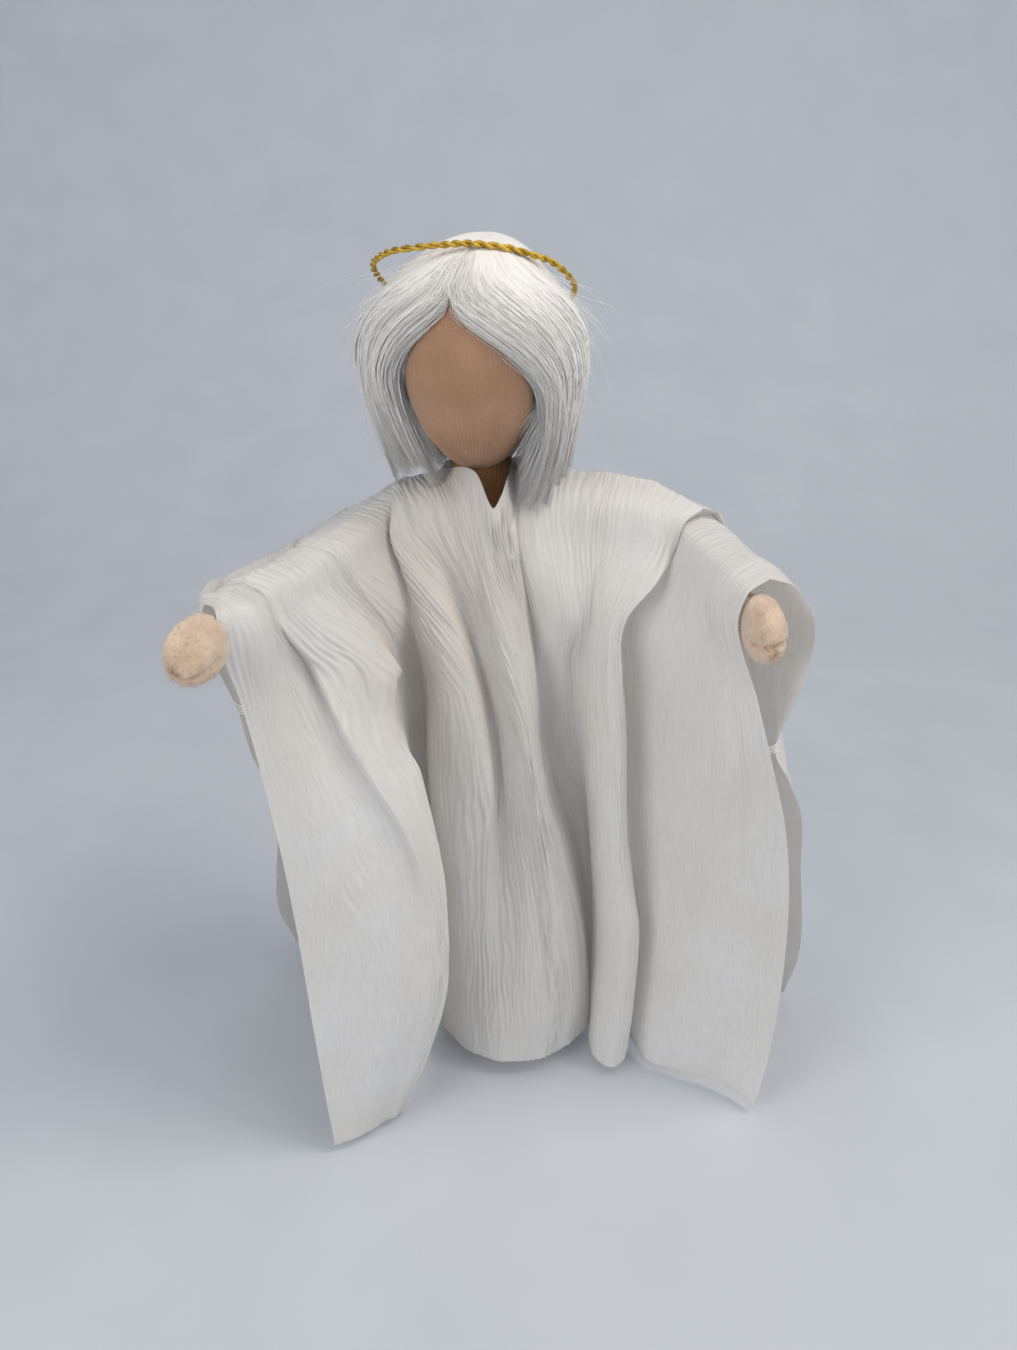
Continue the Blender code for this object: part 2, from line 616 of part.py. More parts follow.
# Robe: fold lines of the front sheet, from the figure's right cuff to its left cuff.
# Each has the place on the shoulder line that it hangs from, and points (x, y, z) in mm down to the hem.
FRONT_FOLDS = [
    # Right sleeve: free edge, hanging panel and the roll that it turns back into
    (("right", 1.00), [(-53.5, -73, 128), (-51.3, -73.2, 95), (-50, -73.8, 60), (-48.8, -74, 30),
                       (-47.5, -74, 4)]),
    (("right", 0.88), [(-52, -67, 163), (-47, -69.5, 130), (-44, -71.5, 95), (-42.5, -72.3, 60),
                       (-41.8, -72, 30), (-41, -71, 4)]),
    (("right", 0.78), [(-45.5, -60, 163), (-36, -65.5, 130), (-30.5, -69, 95), (-29.5, -70, 60),
                       (-31.5, -69.3, 30), (-35, -67.5, 4)]),
    (("right", 0.70), [(-41, -52, 163), (-27, -58, 130), (-17, -63, 95), (-16.5, -65, 60),
                       (-22, -64.5, 30), (-29, -63.5, 4)]),
    (("right", 0.62), [(-38, -46, 163), (-22, -52, 131), (-11.5, -57.5, 96), (-11, -60, 63),
                       (-17, -60, 31), (-25.5, -60.5, 4)]),
    (("right", 0.54), [(-35.5, -38, 163), (-23, -40.5, 131), (-14, -46, 96), (-13.5, -49, 63),
                       (-18, -50, 31), (-24, -51, 4)]),
    # Recess between the right sleeve and the breast
    (("right", 0.43), [(-33, -26.5, 163), (-27, -22, 130), (-22, -22, 96), (-20, -24, 60),
                       (-21, -26, 30), (-22, -28, 5)]),
    (("right", 0.30), [(-30, -18.5, 163), (-25, -14, 130), (-21, -13, 96), (-19, -15, 60),
                       (-18.5, -17, 30), (-18.5, -19, 6)]),
    # Breast: round fold, shallow valley and the slanting rolled fold
    (("right", 0.14), [(-26.5, -24, 163), (-16.5, -24.5, 135), (-15, -25, 96), (-14, -26, 60),
                       (-13.6, -27, 30), (-13.4, -28.5, 7)]),
    (("shoulder", -0.8), [(-17.5, -28.5, 163), (-10, -34, 130), (-7.5, -37, 96), (-7, -38.5, 60),
                          (-6.5, -39, 30), (-6, -38.5, 8)]),
    (("shoulder", -0.45), [(-7.5, -25, 163), (-1.5, -29, 135), (1.2, -35, 98), (3, -40, 60),
                           (4.5, -43, 30), (6, -43.5, 8)]),
    (("neckline", -0.6), [(1, -28.5, 163), (8.5, -35.5, 128), (15, -41, 95), (21, -43.5, 60),
                          (23, -43.5, 30), (23, -41.5, 8)]),
    (("neckline", 0.0), [(5, -28, 163), (13, -34.5, 128), (21, -39.8, 94), (27.5, -42, 56),
                         (31, -39.5, 29), (31, -35.5, 8)]),
    (("neckline", 0.6), [(9, -23, 163), (16.5, -29, 128), (26.2, -33, 94), (33.8, -33.3, 56),
                         (37, -31, 29), (37.5, -27.5, 8)]),
    # Deep narrow recess beside the slanting fold
    (("shoulder", 0.42), [(16, -19.5, 163), (22, -20, 128), (30, -19.5, 94), (35.5, -16, 56),
                          (37.8, -12, 29), (38.3, -9, 8)]),
    (("shoulder", 0.75), [(26, -18.8, 163), (31.5, -19, 128), (37, -18, 94), (41, -15, 56),
                          (42.5, -12, 29), (43, -9, 7)]),
    # Narrow upright fold
    (("left", 0.10), [(34.5, -22, 163), (37, -24, 130), (39.5, -25.5, 94), (41, -25, 56),
                      (41.8, -24, 29), (42, -23, 6)]),
    (("left", 0.30), [(37, -33, 165), (38.5, -38, 135), (40, -40.5, 94), (41.2, -40.5, 56),
                      (41.9, -40, 29), (42.4, -39, 5)]),
    (("left", 0.46), [(41.5, -37.5, 166), (43, -42.5, 135), (44.5, -45, 94), (45.8, -46, 56),
                      (46.6, -45.5, 29), (47.3, -44.3, 5)]),
    (("left", 0.55), [(47, -37, 164), (48, -40, 135), (49.5, -41.5, 94), (50.6, -42, 56),
                      (51.2, -41.5, 29), (51.6, -40, 5)]),
    (("left", 0.63), [(51, -32, 163), (50.7, -31, 135), (51.5, -31, 94), (52.2, -31, 56),
                      (52.6, -30.5, 29), (52.9, -30, 5)]),
    # Left sleeve: hanging panel and free edge
    (("left", 0.71), [(57, -37, 161), (57, -38.7, 130), (58, -40, 94), (58.5, -41, 56),
                      (58.8, -41, 29), (59, -41, 4)]),
    (("left", 0.79), [(63, -44, 161), (65, -46.5, 130), (67.3, -47.5, 94), (68.8, -47.2, 56),
                      (69.3, -46, 29), (69.5, -45, 4)]),
    (("left", 0.89), [(69, -53, 161), (74, -55, 130), (79, -55, 94), (81.3, -53.5, 56),
                      (81.5, -51.7, 29), (81, -51, 4)]),
    (("left", 1.00), [(88, -58, 118), (92.5, -58, 90), (94.5, -58, 56), (94, -58.5, 29), (92, -59, 4)]),
]

# Hem of the back sheet in plan, mm, for the same lines; between shoulder and hem it falls straight
BACK_HEM = [
    (-77, 18), (-75, 20), (-73, 21.5), (-71, 23), (-68.5, 25), (-66, 27), (-62.5, 28.5), (-58, 30), (-51, 33),
    (-41, 38), (-31, 38), (-20, 36), (-8, 41), (4, 42), (15, 38), (26, 39), (37, 43), (47, 41), (57, 37),
    (68, 35), (79, 32), (90, 25), (100, 14), (108, 2), (113, -10),
]
BACK_HEM_Z = 6.5
# Free edges of the back sheet: below the tack they slant back and out, away from the front sheet's edges
BACK_EDGE = {
    0: [(-59.5, -64, 146), (-57.5, -57, 131), (-60, -46, 110), (-67, -30, 81), (-74, -10, 51), (-77.4, 5, 30),
        (-77, 18, 6.5)],
    24: [(88.4, -52, 131), (95.5, -46, 115), (101.5, -38, 88), (109, -28, 56), (113, -18, 30), (113, -10, 6.5)],
}
# Free edges from the cuff down to the tack, as offsets in mm from the arm's line at the cuff
CUFF_EDGE = {
    0: {"arm": "right", "front": [(6.3, -2.8, -20.2)], "back": [(-4.4, 4.7, -5.2), (4.3, -1.5, -20.2)]},
    24: {"arm": "left", "front": [(-5.1, -8.4, -17.2), (3.9, -6.9, -36.2)],
         "back": [(14.9, 4.1, -5.2), (12.4, 0.6, -21.2), (5.9, -5.5, -36.2)]},
}
TACK_BELOW_CUFF = {"right": 20.2 * MM, "left": 36.2 * MM}
SLEEVE_RIGHT_ENDS = 6
SLEEVE_LEFT_STARTS = 21


def lift_to_figure(point):
    """Fold points in mm on the reference figure, raised with the real shoulder height."""
    x, y, z = point
    return Vector((x * MM, y * MM, z * SHOULDER_Z / FOLD_HEIGHT))


def along_arm(name, share):
    """A point along the arm from shoulder (0) to cuff (1)."""
    points = arm_points(name)
    lengths = [(b - a).length for a, b in zip(points, points[1:])]
    rest = min(max(share, 0.0), 1.0) * sum(lengths)
    for a, b, length in zip(points, points[1:], lengths):
        if rest <= length + 1e-9:
            break
        rest -= length
    return a + (b - a).normalized() * rest


def over_arm(name, share, turn):
    """From the top of the arm round to its front side (turn 1) or back side (turn -1)."""
    at = along_arm(name, share)
    way = along_arm(name, share + 0.12) - along_arm(name, share - 0.12)
    normal = Vector((-way.y, way.x, 0)).normalized()
    if normal.y > 0:
        normal = -normal
    wide = max(SHOULDER_BALL, share * 0.5 * PALM_HEIGHT)
    up = Vector((0, 0, wide + CLOTH / 2 + CLEARANCE))
    side = normal * turn * (1.12 * (wide + EASE))
    slant = math.sqrt(0.5)
    low = Vector((0, 0, 2 * MM))
    return [at + up, at + (up + side) * slant, at + side - low]


def over_breast(share, turn):
    """From the shoulder line between neck and arm down to the front (turn 1) or back of the torso."""
    x = share * SHOULDER_HALF
    rise = 3.5 * MM + 8 * MM * (1 - abs(share))
    top = Vector((x, 3 * MM, SHOULDER_Z + SHOULDER_BALL + rise))
    depth = 0.5 * TORSO_DEPTH + 1.8 * MM + 2 * MM * (1 - abs(share))
    chest = Vector((x, -turn * depth, SHOULDER_Z - 2 * MM))
    bend = Vector((x, -turn * 0.62 * depth, SHOULDER_Z + SHOULDER_BALL + 0.4 * rise))
    return [top, bend, chest]


def over_collar(share, turn):
    """From the edge of the neck opening down to the breast or the back."""
    depth = 0.5 * TORSO_DEPTH
    round_neck = NECK_BALL + EASE + 2 * MM
    x = share * round_neck
    if turn < 0:
        top = Vector((x, round_neck * math.sqrt(1 - 0.6 * share ** 2), NECK_Z + 7.5 * MM))
        bend = Vector((1.05 * x, depth, SHOULDER_Z + SHOULDER_BALL))
        return [top, bend, Vector((1.1 * x, depth + 3 * MM, SHOULDER_Z - 2 * MM))]
    reach = round_neck * (1.0 - 0.55 * abs(share)) + 7 * MM * (1 - abs(share))
    top = Vector((x + SLIT_TO_LEFT, -reach, NECK_Z + 0.5 * MM + 5 * MM * abs(share)))
    return [top, Vector((x + SLIT_TO_LEFT, -depth - 4.2 * MM, SHOULDER_Z - 2 * MM))]


def hang_points(where, turn):
    """Where a fold line starts on the shoulder line, and its way over the arm or breast."""
    place_name, share = where
    if place_name == "shoulder":
        return over_breast(share, turn)
    if place_name == "neckline":
        return over_collar(share, turn)
    points = over_arm(place_name, share, turn)
    if turn < 0:
        points[2].y = max(points[2].y, (0.5 * TORSO_DEPTH + 2.5 * MM) * (1 - share / 0.3))
    return points


def cuff_edge(index, sheet):
    """The stretch of a free edge between the cuff and the tack, which moves with the arm."""
    if index not in CUFF_EDGE:
        return []
    cuff = arm_points(CUFF_EDGE[index]["arm"])[-1]
    return [cuff + Vector(offset) * MM for offset in CUFF_EDGE[index][sheet]]


def front_line(index):
    where, points = FRONT_FOLDS[index]
    return hang_points(where, 1) + cuff_edge(index, "front") + [lift_to_figure(point) for point in points]


def back_line(index):
    where = FRONT_FOLDS[index][0]
    top = hang_points(where, -1)
    if index in BACK_EDGE:
        return top[:2] + cuff_edge(index, "back") + [lift_to_figure(point) for point in BACK_EDGE[index]]
    hem = lift_to_figure((*BACK_HEM[index], BACK_HEM_Z))
    fall = []
    for share in (0.25, 0.5, 0.75, 1.0):
        fall.append(top[-1].lerp(hem, share))
    return top + fall


def spline(points, shares):
    """Points on a smooth curve through the given ones, at shares of its chord length."""
    chord = [0.0]
    for a, b in zip(points, points[1:]):
        chord.append(chord[-1] + max((b - a).length, 1e-6))
    slopes = []
    last = len(points) - 1
    for i in range(len(points)):
        a, b = max(i - 1, 0), min(i + 1, last)
        slopes.append((points[b] - points[a]) / (chord[b] - chord[a]))
    result = []
    for share in shares:
        at = share * chord[-1]
        k = 0
        while k < last - 1 and chord[k + 1] < at:
            k += 1
        span = chord[k + 1] - chord[k]
        u = (at - chord[k]) / span
        h1 = 2 * u ** 3 - 3 * u ** 2 + 1
        h2 = u ** 3 - 2 * u ** 2 + u
        h3 = -2 * u ** 3 + 3 * u ** 2
        h4 = u ** 3 - u ** 2
        result.append(points[k] * h1 + slopes[k] * span * h2 + points[k + 1] * h3 + slopes[k + 1] * span * h4)
    return result


def across_lines(row, first, last):
    """One level of a piece of cloth: a smooth curve across the fold lines first to last, ends drawn in."""
    chord = [0.0]
    for a, b in zip(row, row[1:]):
        chord.append(chord[-1] + max((b - a).length, 1e-6))
    shares = []
    for k in range(first, last):
        for step in range(STEPS_A_FOLD):
            shares.append((chord[k] + (chord[k + 1] - chord[k]) * step / STEPS_A_FOLD) / chord[-1])
    shares.append(chord[last] / chord[-1])
    points = spline(row, shares)
    points[0] = points[0] + (points[1] - points[0]).normalized() * SEAM_GAP / 2
    points[-1] = points[-1] + (points[-2] - points[-1]).normalized() * SEAM_GAP / 2
    return points


def cloth(name, levels, body):
    """A closed thin sheet over a grid of points."""
    origin = JOINT_AT[body]
    mesh = bpy.data.meshes.new(name)
    bm = bmesh.new()
    grid = [[bm.verts.new(point - origin) for point in level] for level in levels]
    for upper, lower in zip(grid, grid[1:]):
        for k in range(len(upper) - 1):
            bm.faces.new((upper[k], lower[k], lower[k + 1], upper[k + 1]))
    bm.to_mesh(mesh)
    bm.free()
    smooth(mesh)
    obj = mesh_object(name, mesh, SILK)
    shell = obj.modifiers.new("thickness", "SOLIDIFY")
    shell.thickness = CLOTH
    shell.offset = 0.0
    return place(obj, body, origin)


def build_robe():
    count = len(FRONT_FOLDS)
    front = list(zip(*[spline(front_line(i), ROWS) for i in range(count)]))
    back = list(zip(*[spline(back_line(i), ROWS) for i in range(count)]))
    ridge = [front_line(i)[0] for i in range(count)]
    whole = list(reversed(back)) + [ridge] + front
    body = (SLEEVE_RIGHT_ENDS, SLEEVE_LEFT_STARTS)
    cloth("robe_front", [across_lines(row, *body) for row in front], "figure")
    cloth("robe_back", [across_lines(row, *body) for row in back], "figure")
    right = [across_lines(row, 0, SLEEVE_RIGHT_ENDS) for row in whole]
    cloth("sleeve_right", right, "upper_arm_right")
    build_tack("right", [level[0] for level in right])
    left = [across_lines(row, SLEEVE_LEFT_STARTS, count - 1) for row in whole]
    cloth("sleeve_left", left, "upper_arm_left")
    build_tack("left", [level[-1] for level in left])
    build_binding(front[0], back[0])


def build_binding(front_edge, back_edge):
    """Bound edge round the neck opening, a little above the cloth."""
    first, last, count = 10, 14, 28
    path = [front_edge[k] for k in range(first, last + 1)]
    path += [back_edge[k] for k in range(last, first - 1, -1)]
    lift = Vector((0, 0, CLOTH / 2 + BINDING_RADIUS + CLEARANCE))
    path = [point + lift for point in path]
    ring = spline(path + [path[0]], [i / count for i in range(count)])
    tube("neck_binding", ring, BINDING_RADIUS, SILK, "figure", closed=True, resolution=0)


def at_height(edge, height):
    """The point of a hanging edge at a height."""
    for a, b in zip(edge, edge[1:]):
        if (a.z - height) * (b.z - height) <= 0:
            return a.lerp(b, (height - a.z) / (b.z - a.z))


def build_tack(name, edge):
    """The thread that holds the free edges of a sleeve's back and front together under the cuff."""
    height = arm_points(name)[-1].z - TACK_BELOW_CUFF[name]
    middle = len(edge) // 2
    start, end = at_height(edge[middle:], height), at_height(edge[:middle + 1], height)
    clear = (end - start).normalized() * (CLOTH / 2 + CLEARANCE)
    rod("sleeve_tack_" + name, TACK_RADIUS, start + clear, end - clear, "upper_arm_" + name, THREAD, 8, PARTS)


build_torso()
build_neck_and_head()
for arm in ARM_POSE:
    build_arm(arm)
build_leg("left", 1)
build_leg("right", -1)
build_robe()
for joint_name, where in JOINT_AT.items():
    print("joint %s at %.5f %.5f %.5f" % (joint_name, where.x + AXIS_X, where.y + AXIS_Y, where.z))
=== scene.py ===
"""Looks of the bendable cloth nativity angel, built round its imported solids. Metres, +Z up, facing -Y."""
import json
import math

import bpy
import numpy as np
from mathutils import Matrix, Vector

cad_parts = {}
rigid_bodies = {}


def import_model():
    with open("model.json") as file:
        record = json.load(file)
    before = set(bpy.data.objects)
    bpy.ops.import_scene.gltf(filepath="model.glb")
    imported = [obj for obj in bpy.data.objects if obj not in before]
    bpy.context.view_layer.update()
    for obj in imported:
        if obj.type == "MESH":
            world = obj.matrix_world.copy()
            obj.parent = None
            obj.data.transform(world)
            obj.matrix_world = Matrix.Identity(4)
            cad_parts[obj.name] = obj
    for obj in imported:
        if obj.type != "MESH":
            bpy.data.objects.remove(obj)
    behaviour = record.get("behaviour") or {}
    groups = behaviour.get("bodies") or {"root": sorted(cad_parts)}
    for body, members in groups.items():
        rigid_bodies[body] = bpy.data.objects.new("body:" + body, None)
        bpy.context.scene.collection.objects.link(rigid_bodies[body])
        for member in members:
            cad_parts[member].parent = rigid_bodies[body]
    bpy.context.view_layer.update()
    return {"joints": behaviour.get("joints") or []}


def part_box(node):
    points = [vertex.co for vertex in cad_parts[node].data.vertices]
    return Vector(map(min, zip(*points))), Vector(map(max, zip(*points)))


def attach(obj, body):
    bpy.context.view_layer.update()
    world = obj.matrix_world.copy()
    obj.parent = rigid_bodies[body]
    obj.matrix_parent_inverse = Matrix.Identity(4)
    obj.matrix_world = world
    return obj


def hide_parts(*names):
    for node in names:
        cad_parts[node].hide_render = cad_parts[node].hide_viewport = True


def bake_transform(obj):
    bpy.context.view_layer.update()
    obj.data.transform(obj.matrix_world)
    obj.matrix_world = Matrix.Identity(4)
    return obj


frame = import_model()
JOINT = {item["name"]: np.array(item["pos_m"]) for item in frame["joints"]}

MM = 0.001

# Where the figure's own axis stands; shapes below are in mm from it
AXIS = np.array([JOINT["head_nod"][0], JOINT["head_nod"][1], 0.0])

# Camera, as the photograph was taken
CAMERA_RIGHT = 8.8 * MM
CAMERA_BACK = 293 * MM
CAMERA_HEIGHT = 293 * MM
CAMERA_TILT = math.radians(62)
CAMERA_LENS = 27.04
CAMERA_SENSOR = 36.0
CAMERA_NEAR = 0.01


def own(point):
    """A point of the frame in mm from the figure's axis."""
    return (np.asarray(point) - AXIS) / MM


def world(points):
    """Points in mm from the figure's axis, in metres in the frame."""
    return np.asarray(points, float) * MM + AXIS


def unit(vector):
    vector = np.asarray(vector, float)
    return vector / np.maximum(np.linalg.norm(vector, axis=-1, keepdims=True), 1e-9)


def turn_z(points, angle):
    c, s = math.cos(angle), math.sin(angle)
    x, y, z = np.moveaxis(np.asarray(points, float), -1, 0)
    return np.stack([c * x - s * y, s * x + c * y, z], -1)


SHOULDER_MM = own(JOINT["shoulder_left_swing"])[2]
HALF_MM = own(JOINT["shoulder_left_swing"])[0]
NECK_MM = own(JOINT["head_nod"])[2]


# Meshes
def put_in_scene(name, data):
    obj = bpy.data.objects.new(name, data)
    bpy.context.scene.collection.objects.link(obj)
    return obj


def new_mesh(name, verts, faces, mat):
    """A smooth mesh object from points in metres and faces."""
    mesh = bpy.data.meshes.new(name)
    mesh.from_pydata(np.asarray(verts, float).tolist(), [], np.asarray(faces).tolist())
    mesh.materials.append(mat)
    mesh.polygons.foreach_set("use_smooth", np.ones(len(mesh.polygons), bool))
    mesh.update()
    return put_in_scene(name, mesh)


def add_uv(obj, name, uvs):
    """A UV layer from one pair of values for each vertex."""
    layer = obj.data.uv_layers.new(name=name)
    loops = np.zeros(len(obj.data.loops), np.int32)
    obj.data.loops.foreach_get("vertex_index", loops)
    layer.data.foreach_set("uv", np.asarray(uvs)[loops].astype(np.float32).ravel())


def grid_faces(rows, columns, closed=True, first=0):
    """Quads of a grid of points, whose columns may go round."""
    index = first + np.arange(rows * columns).reshape(rows, columns)
    after = np.roll(index, -1, axis=1) if closed else index[:, 1:]
    here = index if closed else index[:, :-1]
    return np.stack([here[:-1].ravel(), here[1:].ravel(), after[1:].ravel(), after[:-1].ravel()], 1)


def round_mesh(name, points, mat):
    """A mesh from a grid of points in mm whose columns go round."""
    return new_mesh(name, world(points.reshape(-1, 3)), grid_faces(*points.shape[:2]), mat)


def round_turns(columns):
    """Angles once round, for the columns of a grid."""
    return np.linspace(0, 2 * math.pi, columns, endpoint=False)[None, :]


def tubes(paths, radius, sides=3, centre=(0, 0, 0), tip=0.25):
    """Points and quads of thin tubes along paths (strand, point, xyz) in mm, narrower at the tip."""
    paths = np.asarray(paths, float)
    count, points, _ = paths.shape
    radius = np.broadcast_to(np.asarray(radius, float), (count,))
    ahead = unit(np.gradient(paths, axis=1))
    across_way = unit(np.cross(ahead, paths - np.asarray(centre)))
    lift = np.cross(across_way, ahead)
    narrow = 1.0 - (1.0 - tip) * np.linspace(0, 1, points) ** 3
    wide = radius[:, None, None] * narrow[None, :, None]
    turns = [2 * math.pi * k / sides for k in range(sides)]
    rings = [paths + wide * (math.cos(a) * lift + math.sin(a) * across_way) for a in turns]
    base = (np.arange(count)[:, None, None] * points + np.arange(points - 1)[None, :, None]) * sides
    side = np.arange(sides)[None, None, :]
    after = (side + 1) % sides
    faces = np.stack([base + side, base + after, base + sides + after, base + sides + side], -1)
    return np.stack(rings, 2).reshape(-1, 3), faces.reshape(-1, 4)


# Smooth noise on a lattice, the same at every run
def lattice(xi, yi, seed):
    value = (xi * 374761393 + yi * 668265263 + seed * 2147001325) & 0xFFFFFFFF
    value = ((value ^ (value >> 13)) * 1274126177) & 0xFFFFFFFF
    value = value ^ (value >> 16)
    return (value & 0xFFFFFF) / float(0xFFFFFF)


def noise(x, y, seed=0):
    """Smooth values from -1 to 1, changing over a distance of about 1."""
    x, y = np.broadcast_arrays(np.asarray(x, float), np.asarray(y, float))
    xi, yi = np.floor(x).astype(np.int64), np.floor(y).astype(np.int64)
    fx, fy = x - xi, y - yi
    fx, fy = fx * fx * (3 - 2 * fx), fy * fy * (3 - 2 * fy)
    low = lattice(xi, yi, seed) * (1 - fx) + lattice(xi + 1, yi, seed) * fx
    high = lattice(xi, yi + 1, seed) * (1 - fx) + lattice(xi + 1, yi + 1, seed) * fx
    return 2 * (low * (1 - fy) + high * fy) - 1


def step(low, high, value):
    """0 before low, 1 past high, smooth between."""
    t = np.clip((value - low) / (high - low), 0, 1)
    return t * t * (3 - 2 * t)


# Node materials
class Nodes:
    """Short calls that add nodes to a material."""

    def __init__(self, name):
        self.mat = bpy.data.materials.new(name)
        self.mat.use_nodes = True
        self.tree = self.mat.node_tree
        self.shader = self.tree.nodes["Principled BSDF"]
        self.out = self.tree.nodes["Material Output"]

    def put(self, socket, value):
        if isinstance(value, bpy.types.NodeSocket):
            self.tree.links.new(value, socket)
        else:
            socket.default_value = value

    def add(self, kind, settings=(), **values):
        node = self.tree.nodes.new(kind)
        for key, value in dict(settings).items():
            setattr(node, key, value)
        for key, value in values.items():
            self.put(node.inputs[key.replace("_", " ")], value)
        return node

    def set(self, **values):
        for key, value in values.items():
            self.put(self.shader.inputs[key.replace("_", " ")], value)

    def position(self):
        """Place on the object, in millimetres."""
        coords = self.add("ShaderNodeTexCoord").outputs["Object"]
        return self.add("ShaderNodeMapping", Vector=coords, Scale=(1000, 1000, 1000)).outputs["Vector"]

    def uv(self, name, scale):
        coords = self.add("ShaderNodeUVMap", {"uv_map": name}).outputs["UV"]
        return self.add("ShaderNodeMapping", Vector=coords, Scale=(*scale, 1.0)).outputs["Vector"]

    def texture(self, vector, scale, detail=2.0, rough=0.5):
        node = self.add("ShaderNodeTexNoise", Vector=vector, Scale=scale, Detail=detail, Roughness=rough)
        return node.outputs["Fac"]

    def ramp(self, fac, stops):
        """Colours by value: a list of (place, colour)."""
        node = self.add("ShaderNodeValToRGB", Fac=fac)
        elements = node.color_ramp.elements
        while len(elements) < len(stops):
            elements.new(0.5)
        for element, (place, colour) in zip(elements, stops):
            element.position = place
            element.color = (*colour, 1.0)
        return node.outputs["Color"]

    def math(self, operation, *values):
        node = self.tree.nodes.new("ShaderNodeMath")
        node.operation = operation
        for socket, value in zip(node.inputs, values):
            self.put(socket, value)
        return node.outputs["Value"]

    def mixed(self, a, share_a, b):
        return self.math("ADD", self.math("MULTIPLY", a, share_a), self.math("MULTIPLY", b, 1 - share_a))

    def bump(self, height, strength, distance):
        node = self.add("ShaderNodeBump", Height=height, Strength=strength, Distance=distance)
        return node.outputs["Normal"]

    def times(self, a, b):
        """Two colours multiplied."""
        node = self.add("ShaderNodeMix", {"data_type": "RGBA", "blend_type": "MULTIPLY"}, Factor=1.0)
        self.put(node.inputs[6], a)
        self.put(node.inputs[7], b)
        return node.outputs[2]

    def translucent(self, share, **values):
        """Lets some light come through a thin sheet or fibre."""
        through = self.add("ShaderNodeBsdfTranslucent", **values)
        mix = self.add("ShaderNodeMixShader", Fac=share)
        self.tree.links.new(self.shader.outputs["BSDF"], mix.inputs[1])
        self.tree.links.new(through.outputs["BSDF"], mix.inputs[2])
        self.tree.links.new(mix.outputs["Shader"], self.out.inputs["Surface"])


# Painted shade on the chest, where the silk is coloured darker and warmer for the head's shade and warm
# light bounced between the folds: middle and reach in mm
CHEST_SHADE_AT = (-8.0, -28.0, 172.0)
CHEST_SHADE_REACH = (36.0, 40.0, 62.0)


def silk_material():
    """Sheer ivory crinkle silk: fine upright threads, crepe grain, a little light coming through, and
    painted shade, darker and warmer, round the chest.
    """
    m = Nodes("crinkle_silk")
    threads = m.texture(m.uv("cloth", (2.6, 0.12)), 1.0, 3.0, 0.6)
    crepe = m.texture(m.uv("cloth", (1.3, 2.4)), 1.0, 2.0, 0.65)
    patch = m.texture(m.position(), 0.03, 2.0)
    tone = m.ramp(patch, [(0.32, (0.82, 0.795, 0.755)), (0.68, (0.855, 0.845, 0.83))])
    fine = m.ramp(threads, [(0.3, (0.92, 0.915, 0.91)), (0.62, (1.0, 1.0, 1.0))])
    colour = m.times(tone, fine)
    # Painted shade: towards the chest the colour is multiplied down to a warm (0.95, 0.925, 0.895), for
    # shade and warm bounced light
    chest = m.add("ShaderNodeMapping", {"vector_type": "TEXTURE"}, Vector=m.position(),
                  Location=tuple(world(CHEST_SHADE_AT) / MM), Scale=CHEST_SHADE_REACH)
    near = m.add("ShaderNodeTexGradient", {"gradient_type": "SPHERICAL"}, Vector=chest.outputs["Vector"])
    chest_shade = m.ramp(near.outputs["Fac"], [(0.0, (1.0, 1.0, 1.0)), (0.6, (0.95, 0.925, 0.895))])
    with_chest_shade = m.times(colour, chest_shade)
    normal = m.bump(m.mixed(threads, 0.5, crepe), 0.6, 0.0005)
    m.set(Base_Color=with_chest_shade, Roughness=0.5, Normal=normal, Sheen_Weight=0.2, Sheen_Roughness=0.4,
          Specular_IOR_Level=0.45)
    m.translucent(0.27, Color=with_chest_shade, Normal=normal)
    return m.mat


def knit_material(name, dark, light, strength):
    """Fine knit: fibre speckle, small loops and soft uneven dye."""
    m = Nodes(name)
    spot = m.texture(m.position(), 2.6, 3.0, 0.75)
    cloud = m.texture(m.position(), 0.07, 2.0)
    loops = m.add("ShaderNodeTexVoronoi", Vector=m.position(), Scale=2.1).outputs["Distance"]
    m.set(Base_Color=m.ramp(m.mixed(spot, 0.5, cloud), [(0.38, dark), (0.62, light)]), Roughness=0.9,
          Sheen_Weight=0.25, Sheen_Roughness=0.5, Specular_IOR_Level=0.2,
          Normal=m.bump(m.mixed(spot, 0.55, loops), strength, 0.0004))
    return m.mat


def felt_material(name, dark, light):
    """Brushed felt: matted fibres, softer and darker in patches."""
    m = Nodes(name)
    fibre = m.texture(m.position(), 1.7, 5.0, 0.75)
    cloud = m.texture(m.position(), 0.22, 2.0)
    m.set(Base_Color=m.ramp(m.mixed(fibre, 0.45, cloud), [(0.36, dark), (0.62, light)]), Roughness=0.95,
          Sheen_Weight=0.5, Sheen_Roughness=0.6, Specular_IOR_Level=0.15, Normal=m.bump(fibre, 0.7, 0.0005))
    return m.mat


def fibre_material():
    """Fine off-white wig fibre with soft streaks along the strands."""
    m = Nodes("wig_fibre")
    streak = m.texture(m.uv("strand", (1.0, 0.02)), 1.0, 4.0, 0.65)
    tone = m.ramp(streak, [(0.25, (0.91, 0.88, 0.83)), (0.55, (0.965, 0.945, 0.91))])
    m.set(Base_Color=tone, Roughness=0.5, Sheen_Weight=0.3, Sheen_Roughness=0.3, Specular_IOR_Level=0.4,
          Normal=m.bump(streak, 0.3, 0.0003))
    m.translucent(0.1, Color=(0.965, 0.945, 0.91, 1.0))
    return m.mat


def gold_material():
    """Brassy drawn wire with duller spots."""
    m = Nodes("gold_wire")
    dull = m.texture(m.position(), 0.6, 4.0, 0.7)
    m.set(Base_Color=m.ramp(dull, [(0.35, (0.42, 0.25, 0.03)), (0.62, (0.80, 0.58, 0.12))]), Metallic=1.0,
          Roughness=m.math("MULTIPLY_ADD", dull, 0.3, 0.5), Normal=m.bump(dull, 0.25, 0.0002))
    return m.mat


